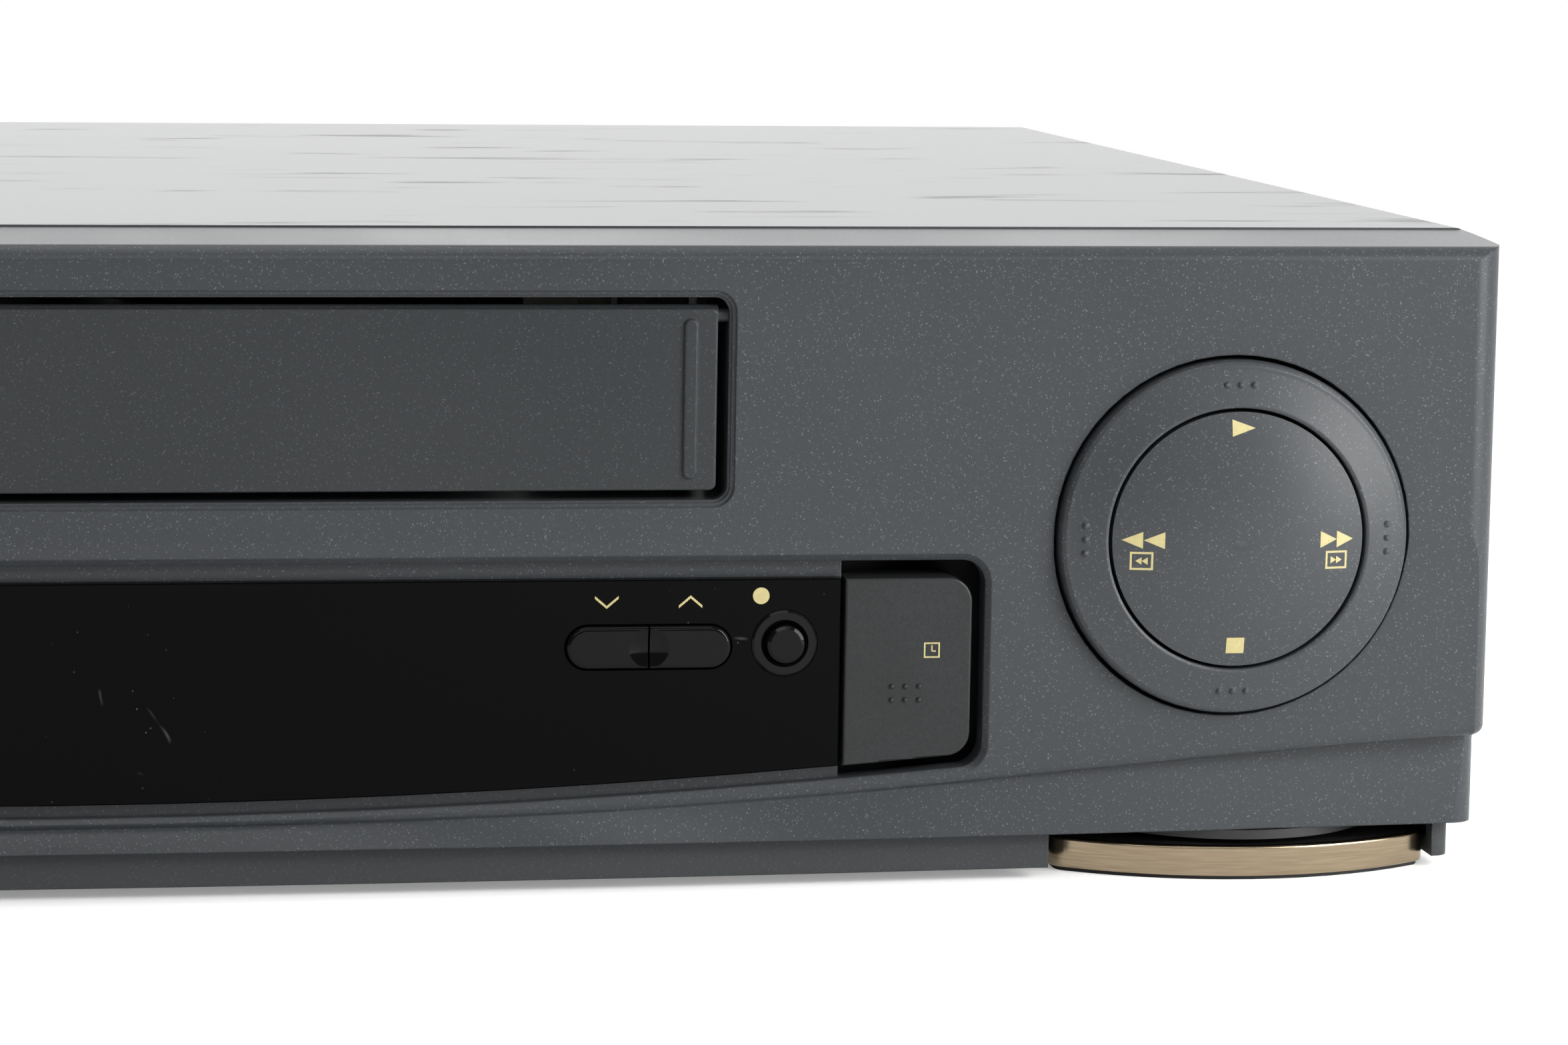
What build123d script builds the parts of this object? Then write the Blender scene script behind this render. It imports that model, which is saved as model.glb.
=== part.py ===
from build123d import *
import math
import os

# A front-loading VHS recorder. Millimetres. The origin is the middle of the footprint on the
# resting plane, +X to the right, +Y to the back, +Z up. A "depth" counts back from the flat
# face of the front, so what stands proud of the face has a depth below zero.

# ---- Case ----
case_width = 430
case_top = 97.5
case_depth = 300
sheet = 0.8  # cover steel
cover_edge_r = 2.0
cover_side_z = 8.0
cover_flange = 10.5  # turned down behind the rear panel
seam_gap = 0.2
seam_step = 0.25  # the front moulding stops this far below the cover's top

# ---- Front moulding ----
bezel_depth = 17.3
wall = 2.6
lower_wall = 4.5
face_top_drop = 1.55  # how far the top slopes down to the front edge
face_edge_r = 2.3
corner_r = 4.5
lip_r = 1.4
face_set_back = 0.5  # the face below the crease lies this far behind the face above it
face_step_z = 8.0  # the hollow under the crease fades out over this height
crease_below_slot = 6.0
skirt_z = 7.6
skirt_proud = 2.2
skirt_bow = 7.6  # how far the skirt falls back from its middle to its ends
skirt_corner_r = 3.8
lip_middle_z = 10.4
lip_end_z = 22.0

# ---- Cassette slot and flap ----
slot_width = 195.8
slot_height = 29.9
slot_below_top = 9.1
slot_corner_r = 2.2
rabbet = 1.0
rabbet_depth = 0.4
tunnel_wall = 1.6
tunnel_depth = 22.0
flap_side_gap = 1.6
flap_top_gap = 1.7
flap_bottom_gap = 1.4
flap_thickness = 2.0
flap_depth = 1.0
flap_pin_r = 1.0
flap_pin_below_top = 1.1
flap_hinge_depth = 2.6
flap_barrel_r = 1.6
rib_width = 2.1
rib_height = 23.6
rib_inset = 4.0
rib_proud = 0.5
rib_edge_r = 0.35
fit_gap = 0.05  # radial clearance of a pin that turns in a bore
spring_wire_r = 0.3
spring_turns = 5
spring_leg = 12.0

# ---- Display window and its keys ----
recess_below_crease = 3.2
recess_from_side = 78.0
recess_corner_r = 3.6
recess_middle_z = 12.1
recess_rise = 6.3  # from the middle of the lower edge to its ends
recess_depth = 2.9
recess_lip = 0.8  # the bevel round the recess
window_key_width = 21.7  # the window stops this far inside the recess's ends
window_edge_gap = 2.0
window_top_gap = 2.6
window_thickness = 2.0
key_gap = 0.6
key_end_gap = 2.0
key_depth = 0.6
key_length = 7.5
key_travel = 1.0
rocker_from_window_end = 28.65
rocker_z = 36.7
rocker_width = 24.5
rocker_height = 6.4
rocker_split = 0.3
button_clearance = 0.25
button_travel = 0.8
rocker_proud = 0.3
rocker_dish_r = 3.0  # the finger dish across the split
rocker_dish_depth = 0.45
rec_from_window_end = 8.4
rec_z = 37.1
rec_r = 2.9
rec_proud = 1.1
rec_ring_r = 4.9
eject_from_side = 65.0
eject_z = 73.0
eject_width = 34.0
eject_height = 9.0
eject_proud = 0.8
eject_travel = 1.2

# ---- Round control ----
control_from_side = 40.95
control_z = 52.74
control_hole_r = 27.15
ring_r = 26.5
ring_inner_r = 19.5
ring_wall = 1.4
ring_edge_proud = 1.8
ring_inner_proud = 3.0
ring_back = 5.0
dome_gap = 0.5
dome_rise = 2.1
dome_wall = 1.8
dot_r = 0.5
dot_pitch = 2.05
dot_circle_r = 22.9
gimbal_depth = 6.25
gimbal_height = 2.5
gimbal_inner_r = 13.5
gimbal_outer_r = 17.5
gimbal_pin_r = 1.0
bracket_reach = 32.0
bracket_depth = 12.0
bracket_thickness = 1.8

# ---- Front board ----
board_depth = 15.0
board_thickness = 1.6
switch_size = 6.0
switch_height = 3.1
plunger_r = 1.75
plunger_length = 0.7

# ---- Base and feet ----
base_clear = 1.9
base_wall = 2.5
base_side_x = 3.0  # the base is this much narrower than the case on each side
rear_vent_z = 72.0  # the rear slots stand high, out of sight from the front
rear_vent_length = 20.0
base_set_back = 2.8  # its front wall stands this far behind the skirt
base_side_z = 16.0
foot_from_side = 35.5
foot_half = 29.3
foot_front_r = 54.0
foot_set_back = 1.8
foot_length = 34.0
foot_corner_r = 3.5
foot_gap = 1.9
niche_length = 42.0
niche_roof = 2.5
pad_thickness = 0.6
band_top_z = 5.2
band_wall = 1.2
neck_r = 26.0
neck_gap = 0.9
foot_stem_r = 11.0
rear_foot_r = 9.0
rear_foot_inset = 28.0

# ---- Rear ----
rear_panel_thickness = 2.0
rear_panel_gap = 0.3
scart_width = 47.0
scart_height = 21.0
scart_proud = 5.0
scart_rim = 2.0
scart_from_side = 55.0
scart_z = (27.0, 53.0)
phono_from_scart = 48.0
phono_z = (28.0, 48.0)
phono_r = 4.15
phono_bore_r = 1.65
phono_length = 8.0
aerial_from_phono = 36.0
aerial_z = (26.0, 50.0)
aerial_r = 4.75
aerial_length = 8.0
inlet_from_side = 37.0
inlet_z = 28.0

# ---- Boards inside ----
transformer_from_deck = 66.0

# ---- Deck ----
deck_z = 27.0
deck_sheet = 1.5
deck_half = 93.0
deck_front = 46.0
deck_back = 254.0
deck_post_r = 4.0
deck_post_inset = 6.0
screw_r = 1.2
reel_spacing = 74.0
reel_depth = 96.0
reel_r = 20.0
reel_pin_r = 1.5
drum_depth = 190.0
drum_r = 31.0
drum_tilt = 5.97  # the tape's helix angle, in degrees
drum_shaft_r = 3.0
lower_drum_height = 14.0
upper_drum_height = 17.0
drum_gap = 0.3
capstan_x = 52.0
capstan_depth = 165.0
capstan_r = 2.0
capstan_tube_r = 5.0
capstan_top_z = 60.0
flywheel_r = 28.0
flywheel_height = 6.0
flywheel_z = 8.0
capstan_pulley_r = 9.0
pinch_r = 8.0
pinch_height = 17.0
pinch_swing = 35.0
pinch_gap = 0.3
pinch_pivot = (82.0, 168.0)
pinch_pin_r = 2.0
roller_pin_r = 1.5
clutch_depth = 62.0
clutch_r = 16.7
clutch_shaft_r = 3.0
clutch_pulley_r = 12.0
idler_r = 13.0
idler_pin_r = 1.2
idler_arm_length = 30.0
wheel_height = 3.0
belt_thickness = 1.2
belt_width = 2.4
belt_gap = 0.3
belt_z = 18.3
guide_start = (24.0, 140.0)
guide_end = (46.0, 198.0)
guide_slot = 5.0
guide_post_r = 1.2
guide_roller_r = 3.0
guide_top_z = 58.0
tape_posts_at = ((-64.0, 146.0), (-64.0, 172.0), (66.0, 147.0), (28.0, 218.0))
erase_head_at = (-50.0, 150.0)
sound_head_at = (50.0, 146.0)
gear_module = 1.0
loading_teeth = 48
pinion_teeth = 12
gear_backlash = 0.25
loading_gear_at = (-60.0, 214.0)
loading_gear_z = (21.5, 25.5)
loading_pin_r = 2.0

# ---- Cassette loader ----
cassette_width = 187.0
cassette_height = 25.0
cassette_gap = 1.6
loader_plate = 1.2
loader_front = 34.0
loader_back = 160.0
loader_top = 95.0
holder_sheet = 1.0
holder_front = 107.0
holder_length = 46.0
holder_ledge = 10.0
loader_travel = 73.0
holder_low = 37.0
holder_pin_r = 2.0
holder_pins = (11.0, 35.0)  # back from the holder's front edge
holder_pin_z = 14.0
pin_slot_gap = 0.35
slider_sheet = 1.5
slider_gap = 0.5
loader_shaft_r = 1.5
loader_shaft_depth = 105.0
rack_module = 0.7
loader_pinion_teeth = 10
rack_length = 92.0

# ---- Worked out from the sizes above ----
half = case_width / 2
recess_half = half - recess_from_side
window_half = recess_half - window_key_width
rocker_x = window_half - rocker_from_window_end
rec_x = window_half - rec_from_window_end
eject_x = eject_from_side - half
scart_x = scart_from_side - half
phono_x = scart_x + phono_from_scart
aerial_x = phono_x + aerial_from_phono
inlet_x = half - inlet_from_side
dome_proud = ring_inner_proud - 0.2 + dome_rise
rear_panel_back = case_depth - sheet
rear_proud = max(phono_length, aerial_length, scart_proud) - sheet
front_y = -(case_depth + rear_proud - dome_proud) / 2
slot_top = case_top - slot_below_top
slot_bottom = slot_top - slot_height
slot_mid = (slot_top + slot_bottom) / 2
hinge_z = slot_top - flap_top_gap - flap_pin_below_top
spring_coil_r = flap_pin_r + fit_gap * 2 + spring_wire_r
flap_spring_room = spring_turns * spring_wire_r * 2 + 1.5
crease_z = slot_bottom - crease_below_slot
recess_top = crease_z - recess_below_crease
window_top = recess_top - window_top_gap
lower_face = face_set_back
lower_back = lower_face + lower_wall
key_inner_x = window_half + key_gap
key_outer_x = recess_half - key_end_gap
control_x = half - control_from_side
dome_r = ring_inner_r - dome_gap
plunger_tip = board_depth - switch_height - plunger_length
foot_x = half - foot_from_side
niche_inner = foot_x - foot_half - foot_gap
base_half = half - base_side_x
niche_outer = base_half - base_wall - 0.5
floor_top = base_clear + base_wall
roof_z = skirt_z + 0.1
deck_top = deck_z + deck_sheet
board_z = floor_top + 7.6
slot_floor_z = slot_bottom + 0.6
holder_high = slot_floor_z
holder_drop = holder_high - holder_low
holder_half = cassette_width / 2 + cassette_gap
plate_inner = holder_half + holder_sheet + 1.0
slider_inner = plate_inner + loader_plate + slider_gap
slider_outer = slider_inner + slider_sheet
wheel_z = deck_top + 1.5
drum_seat_z = deck_top + 6.0
capstan_pulley_top = belt_z + belt_width + 1.8
rack_line = case_top - 9.0
loader_pinion_r = rack_module * loader_pinion_teeth / 2
shaft_z = rack_line + loader_pinion_r


# ---- Small helpers ----
def mid(span):
    return (span[0] + span[1]) / 2


def box(x, d, z):
    size = (x[1] - x[0], d[1] - d[0], z[1] - z[0])
    return Pos(mid(x), front_y + mid(d), mid(z)) * Box(*size)


def disc(x, d, z, r):
    return Pos(x, front_y + d, mid(z)) * Cylinder(r, z[1] - z[0])


def hoop(x, d, z, outer, inner):
    return disc(x, d, z, outer) - disc(x, d, z, inner)


def rod_across(x, d, z, r):
    return Pos(mid(x), front_y + d, z) * Rot(0, 90, 0) * Cylinder(r, x[1] - x[0])


def rod_back(x, d, z, r):
    return Pos(x, front_y + mid(d), z) * Rot(90, 0, 0) * Cylinder(r, d[1] - d[0])


def from_front(sketch, d, taper=0.0):
    """A front-view sketch in (x, z), cut from depth d[1] forward to d[0]."""
    plane = Plane((0, front_y + d[1], 0), x_dir=(1, 0, 0), z_dir=(0, -1, 0))
    return extrude(plane * sketch, d[1] - d[0], taper=taper)


def from_side(sketch, x):
    """A side-view sketch in (depth, z), extruded from x[0] to x[1]."""
    plane = Plane((x[0], front_y, 0), x_dir=(0, 1, 0), z_dir=(1, 0, 0))
    return extrude(plane * sketch, x[1] - x[0])


def from_above(sketch, z):
    """A plan-view sketch in (x, depth), extruded from z[0] to z[1]."""
    return extrude(Plane((0, front_y, z[0])) * sketch, z[1] - z[0])


def turned(points, x, z):
    """A closed (radius, depth) outline turned about the depth axis through x, z."""
    plane = Plane((x, front_y, z))
    outline = plane * make_face(Polyline(*points, close=True))
    return revolve(outline, Axis((x, front_y, z), (0, 1, 0)), 360)


def spun(points, x, d):
    """A closed (radius, z) outline turned about the upright axis through x, depth d."""
    plane = Plane((x, front_y + d, 0), x_dir=(1, 0, 0), z_dir=(0, -1, 0))
    outline = plane * make_face(Polyline(*points, close=True))
    return revolve(outline, Axis((x, front_y + d, 0), (0, 0, 1)), 360)


def both_sides(shape):
    return shape + mirror(shape, Plane.YZ)


def bow(x):
    """How far the bowed skirt has fallen back at x."""
    return skirt_bow * (x / half) ** 2


def bowed_plan(offset, half_x, back, r):
    """A plan with the skirt's bowed front, straight sides and rounded front corners."""
    end = offset + bow(half_x)
    front = ThreePointArc((-half_x, end), (0, offset), (half_x, end))
    sides = Polyline((half_x, end), (half_x, back), (-half_x, back), (-half_x, end))
    plan = make_face([front, *sides.edges()])
    corners = plan.vertices().sort_by(Axis.Y)[:2]
    return fillet(corners, r)


# ---- Gears ----
def gear(module, teeth, backlash):
    """An involute gear outline at the origin, with a tooth centred on +X."""
    pitch_r = module * teeth / 2
    base_r = pitch_r * math.cos(math.radians(20))
    root_r = pitch_r - 1.25 * module
    tip_r = pitch_r + 0.95 * module
    half_tooth = math.pi / (2 * teeth) - backlash / (2 * pitch_r)
    inv_pitch = math.tan(math.radians(20)) - math.radians(20)
    flank = []
    start_r = max(base_r, root_r)
    for step in range(5):
        r = start_r + (tip_r - start_r) * step / 4
        pressure = math.acos(min(1, base_r / r))
        flank.append((r, half_tooth + inv_pitch - (math.tan(pressure) - pressure)))
    points = []
    for tooth in range(teeth):
        turn = tooth * 2 * math.pi / teeth
        side = [(root_r, -flank[0][1])] + [(r, -angle) for r, angle in flank]
        side += [(r, angle) for r, angle in reversed(flank)] + [(root_r, flank[0][1])]
        for r, angle in side:
            points.append((r * math.cos(turn + angle), r * math.sin(turn + angle)))
    distinct = [points[0]]
    for point in points[1:]:
        if math.dist(point, distinct[-1]) > 0.01:
            distinct.append(point)
    return make_face(Polyline(*distinct, close=True))


def rack(module, length, backlash, body):
    """A rack outline with its pitch line on y = 0, teeth up, a gap at the origin's x."""
    pitch = math.pi * module
    tip = 0.85 * module
    root = 1.3 * module
    half_gap = pitch / 4 + backlash / 2
    slope = math.tan(math.radians(20))
    count = int(length / pitch)
    points = [(0, -root - body)]
    for tooth in range(count):
        centre = (tooth + 0.5) * pitch
        points.append((centre - pitch / 2 + half_gap - root * slope, -root))
        points.append((centre - pitch / 2 + half_gap + tip * slope, tip))
        points.append((centre + pitch / 2 - half_gap - tip * slope, tip))
        points.append((centre + pitch / 2 - half_gap + root * slope, -root))
    points.append((count * pitch, -root - body))
    points.insert(1, (0, -root))
    points.insert(-1, (count * pitch, -root))
    return make_face(Polyline(*points, close=True))


# ---- Front moulding ----
def lip_line():
    """The lower edge of the flat face, low in the middle and rising to both ends."""
    rise = lip_end_z - lip_middle_z
    heights = ((half, 1.0), (half * 0.70, 0.577), (half * 0.42, 0.168))
    right = [(x, lip_middle_z + rise * share) for x, share in heights]
    left = [(-x, z) for x, z in right]
    return Spline(*left, (0, lip_middle_z), *reversed(right))


def face_block():
    top_r = cover_edge_r
    edge_z = case_top - face_top_drop
    profile = make_face(
        [
            Line((0, edge_z - face_edge_r), (0, crease_z)),
            ThreePointArc(
                (0, crease_z),
                (lower_face * 0.75, crease_z - face_step_z / 2),
                (lower_face, crease_z - face_step_z),
            ),
            Polyline(
                (lower_face, crease_z - face_step_z),
                (lower_face, 0),
                (bezel_depth, 0),
                (bezel_depth, case_top - seam_step),
                (face_edge_r, edge_z),
            ),
            CenterArc((face_edge_r, edge_z - face_edge_r), face_edge_r, 90, 90),
        ]
    )
    outline = make_face(
        [
            lip_line(),
            Line((half, lip_end_z), (half, case_top - top_r)),
            CenterArc((half - top_r, case_top - top_r), top_r, 0, 90),
            Line((half - top_r, case_top), (top_r - half, case_top)),
            CenterArc((top_r - half, case_top - top_r), top_r, 90, 90),
            Line((-half, case_top - top_r), (-half, lip_end_z)),
        ]
    )
    square = Pos(0, bezel_depth / 2) * Rectangle(case_width, bezel_depth)
    plan = fillet(square.vertices().sort_by(Axis.Y)[:2], corner_r)
    block = from_side(profile, (-half, half)) & from_front(outline, (-1, bezel_depth + 1))
    block = block & from_above(plan, (0, case_top + 1))
    lip = [e for e in block.edges() if e.bounding_box().max.Z < lip_end_z + 0.1]
    lip = [e for e in lip if e.bounding_box().min.Y < front_y + corner_r + 0.1]
    lip = [e for e in lip if e.length > 1]
    return fillet(lip, lip_r)


def skirt():
    """The bowed lower skirt: it flares forward in the middle and stands upright at its ends."""
    sections = []
    into_lip = 1.6
    for share in (-1.0, -0.70, -0.42, 0.0, 0.42, 0.70, 1.0):
        x = share * half
        line = {0.0: 0.0, 0.42: 0.168, 0.70: 0.577, 1.0: 1.0}[abs(share)]
        crease = lip_middle_z + (lip_end_z - lip_middle_z) * line
        foot = (bow(x) - skirt_proud, skirt_z)
        flare = 3.0 - 2.7 * min(1, abs(share) * 1.1)
        slope = flare / (crease - skirt_z)
        head = (foot[0] + flare + slope * into_lip, crease + into_lip)
        # hollow in the middle, where it flares, and rounded at its ends
        hollow = 0.2 - 0.35 * share**2
        bulge = (mid((foot[0], head[0])) + hollow, mid((foot[1], head[1])) - hollow)
        plane = Plane((x, front_y, 0), x_dir=(0, 1, 0), z_dir=(1, 0, 0))
        outline = [
            ThreePointArc(foot, bulge, head),
            Line(head, (bezel_depth, head[1])),
            Line((bezel_depth, head[1]), (bezel_depth, skirt_z)),
            Line((bezel_depth, skirt_z), foot),
        ]
        sections.append(plane * make_face(outline))
    plan = bowed_plan(-skirt_proud, half, bezel_depth, skirt_corner_r)
    return loft(sections) & from_above(plan, (0, case_top / 2))


def slot_outline(grow):
    outline = RectangleRounded(slot_width + 2 * grow, slot_height + 2 * grow, slot_corner_r + grow)
    return Pos(0, slot_mid) * outline


def recess_edge(lift, half_x):
    """The bowed lower edge of the window recess, lifted by a gap and cut at half_x."""
    rise = recess_rise * (half_x / recess_half) ** 2
    low = recess_middle_z + lift
    return ThreePointArc((-half_x, low + rise), (0, low), (half_x, low + rise))


def recess_outline(inset, lift, half_x, top, r):
    bottom = recess_edge(lift, half_x - inset)
    end = bottom @ 1
    start = bottom @ 0
    frame = Polyline(end, (end.X, top), (start.X, top), start)
    outline = make_face([bottom, *frame.edges()])
    return fillet(outline.vertices(), r) if r else outline


def control_corners():
    reach = bracket_reach / math.sqrt(2)
    return [(control_x + a * reach, control_z + b * reach) for a in (-1, 1) for b in (-1, 1)]


def front_bezel():
    shell = face_block() + skirt()
    inner_half = half - wall
    shell -= box((-inner_half, inner_half), (wall, 99), (crease_z, case_top - face_top_drop - wall))
    shell -= box((-inner_half, inner_half), (lower_back + 3.6, 99), (0, crease_z + 1))
    shell -= box((-recess_half - 8, recess_half + 8), (lower_back, 99), (0, crease_z + 1))
    tongue = box((-half + 8, half - 8), (bezel_depth - 4, bezel_depth + 4), (case_top - 3, case_top - 1.2))
    shell += tongue - box((-half + 40, half - 40), (bezel_depth + 0.1, 99), (0, case_top))
    shell += box((-half + 8, half - 8), (face_edge_r, bezel_depth), (case_top - 4.2, case_top - 1.8))
    # cassette slot: two bevelled steps round the opening, then a tunnel behind it
    shell -= from_front(slot_outline(rabbet), (-1, rabbet_depth))
    shell -= from_front(slot_outline(rabbet * 0.4), (-1, rabbet_depth * 2))
    shell -= from_front(slot_outline(0), (-1, wall + 1))
    side = (slot_width / 2, slot_width / 2 + tunnel_wall)
    tunnel = both_sides(box(side, (wall, tunnel_depth), (slot_bottom - tunnel_wall, slot_top + 4)))
    floor = (slot_bottom - tunnel_wall, slot_bottom)
    tunnel += box((-side[1], side[1]), (wall - 0.4, tunnel_depth), floor)
    shell += tunnel
    # the flap's pins turn in the tunnel walls, and its spring has a pocket beside the left one
    reach = slot_width / 2 + tunnel_wall + flap_spring_room
    shell -= rod_across((-reach, reach), flap_hinge_depth, hinge_z, flap_pin_r + fit_gap)
    pocket_r = spring_coil_r + spring_wire_r + 0.2
    pocket_x = (-reach, -slot_width / 2 - tunnel_wall)
    pocket_d = (flap_hinge_depth - pocket_r, flap_hinge_depth + pocket_r)
    shell -= box(pocket_x, pocket_d, (hinge_z - pocket_r, hinge_z + pocket_r))
    # window recess, its light opening, and the openings for the keys at its ends
    shell -= from_front(recess_outline(0, 0, recess_half, recess_top, recess_corner_r), (-1, recess_depth))
    bevelled = recess_outline(0, 0, recess_half, recess_top, recess_corner_r)
    shell -= from_front(bevelled, (lower_face - 1, lower_face + recess_lip), taper=-45)
    shell -= box((-58, 58), (0, 9), (22, window_top - 3))
    ends = recess_outline(0, 0, recess_half, recess_top, recess_corner_r)
    middle = Rectangle(2 * (window_half + key_gap / 2), 4 * crease_z)
    shell -= from_front(ends - middle, (-1, 9))
    pill = Pos(rocker_x, rocker_z) * SlotOverall(
        rocker_width + 2 * button_clearance, rocker_height + 2 * button_clearance
    )
    shell -= from_front(pill, (-1, 9))
    shell -= rod_back(rec_x, (-1, 9), rec_z, rec_ring_r + 0.1)
    eject = SlotOverall(eject_width + 2 * button_clearance, eject_height + 2 * button_clearance)
    shell -= from_front(Pos(eject_x, eject_z) * eject, (-1, 9))
    # round control: its hole and the bosses that its bracket screws to
    shell -= rod_back(control_x, (-1, 12), control_z, control_hole_r)
    for x, z in control_corners():
        shell += rod_back(x, (lower_face + 1.5, bracket_depth), z, 3.0)
    return shell


def cassette_flap():
    width = slot_width - 2 * flap_side_gap
    z = (slot_bottom + flap_bottom_gap, slot_top - flap_top_gap)
    panel = RectangleRounded(width, z[1] - z[0], 1.0)
    d = (flap_depth, flap_depth + flap_thickness)
    flap = from_front(Pos(0, mid(z)) * panel, d)
    front_edges = flap.edges().group_by(Axis.Y)[0]
    flap = fillet(front_edges, 0.35)
    rib = Pos(width / 2 - rib_inset, mid(z) + 0.1) * SlotOverall(rib_height, rib_width, 90)
    bar = from_front(rib, (d[0] - rib_proud, d[0] + 0.5))
    flap += both_sides(fillet(bar.edges().group_by(Axis.Y)[0], rib_edge_r))
    flap += rod_across((-width / 2, width / 2), flap_hinge_depth, hinge_z, flap_barrel_r)
    outside = slot_width / 2 + tunnel_wall
    pins = (-outside - flap_spring_room + 0.3, outside + 0.8)
    return flap + rod_across(pins, flap_hinge_depth, hinge_z, flap_pin_r)


def flap_spring():
    """A torsion spring of close turns on the flap's left pin, outside the tunnel wall."""
    start = -slot_width / 2 - tunnel_wall - 0.6
    leg = (flap_hinge_depth, flap_hinge_depth + spring_leg)
    spring = rod_back(start, leg, hinge_z - spring_coil_r, spring_wire_r)
    for turn in range(spring_turns):
        x = start - turn * spring_wire_r * 1.8
        place = Pos(x, front_y + flap_hinge_depth, hinge_z) * Rot(0, 90, 0)
        spring += place * Torus(spring_coil_r, spring_wire_r)
    return spring


# ---- Window and keys ----
def rec_bore(clearance):
    return rod_back(rec_x, (-2, 20), rec_z, rec_ring_r + clearance)


def display_window():
    plate = from_front(
        recess_outline(0, window_edge_gap, window_half, window_top, 0),
        (recess_depth - window_thickness, recess_depth),
    )
    front_edges = plate.edges().group_by(Axis.Y)[0]
    plate = chamfer(front_edges, 0.2)
    pill = Pos(rocker_x, rocker_z) * SlotOverall(
        rocker_width + 2 * button_clearance, rocker_height + 2 * button_clearance
    )
    return plate - from_front(pill, (-1, 9)) - rec_bore(0.1)


def rocker_half(side):
    """One half of the pill-shaped rocker, from its front to the stem on its switch."""
    front = lower_face - rocker_proud
    pill = Pos(rocker_x, rocker_z) * SlotOverall(rocker_width, rocker_height)
    body = from_front(pill, (front, lower_back + 1.5))
    body = fillet(body.edges().group_by(Axis.Y)[0], 0.7)
    dish_r = (rocker_dish_r**2 + rocker_dish_depth**2) / (2 * rocker_dish_depth)
    body -= Pos(rocker_x, front_y + front + rocker_dish_depth - dish_r, rocker_z) * Sphere(dish_r)
    outer = rocker_x + side * (rocker_width / 2 + 1)
    inner = rocker_x + side * rocker_split / 2
    body = body & box(sorted((inner, outer)), (-9, 20), (0, case_top))
    stem_x = rocker_x + side * rocker_width / 4
    return body + rod_back(stem_x, (lower_back + 1, plunger_tip - button_travel - 0.1), rocker_z, 1.5)


def rec_button():
    front = lower_face - rec_proud
    end = plunger_tip - button_travel - 0.1
    outline = [(0, front), (rec_r - 0.6, front), (rec_r - 0.15, front + 0.2), (rec_r, front + 0.7)]
    outline += [(rec_r, lower_back + 1.5), (1.5, lower_back + 1.5), (1.5, end), (0, end)]
    return turned(outline, rec_x, rec_z)


def rec_light_ring():
    inner = rec_r + 0.15
    front = lower_face + 0.1
    outline = [(inner, front + 0.5), (inner + 0.5, front), (rec_ring_r - 0.3, front)]
    outline += [(rec_ring_r, front + 0.3), (rec_ring_r, lower_back + 0.6), (inner, lower_back + 0.6)]
    return turned(outline, rec_x, rec_z)


def end_key():
    """The tall key at the right end of the window, with its grip dots."""
    ends = recess_outline(key_end_gap, window_edge_gap, recess_half, window_top, recess_corner_r)
    right = Pos(key_inner_x + case_width / 2, 0) * Rectangle(case_width, 4 * case_top)
    key = from_front(ends & right, (key_depth, key_depth + key_length))
    key = fillet(key.edges().group_by(Axis.Y)[0], 0.4)
    hollow = box((key_inner_x + 1.8, key_outer_x - 5.5), (key_depth + 2, 99), (27, window_top - 6))
    key -= hollow
    key += rod_back(
        mid((key_inner_x, key_outer_x)),
        (key_depth + 1, plunger_tip - key_travel - 0.1),
        mid((27, window_top - 6)),
        1.8,
    )
    for column in (-1, 0, 1):
        for row in (0, 1):
            x = key_inner_x + 9.2 + column * dot_pitch
            key += Pos(x, front_y + key_depth, 30.5 - row * dot_pitch) * Sphere(0.42)
    return key


def eject_button():
    pill = Pos(eject_x, eject_z) * SlotOverall(eject_width, eject_height)
    body = from_front(pill, (-eject_proud, 6.0))
    body = fillet(body.edges().group_by(Axis.Y)[0], 0.6)
    end = plunger_tip - eject_travel - 0.1
    return body + rod_back(eject_x, (5.5, end), eject_z, 2.0)


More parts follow.
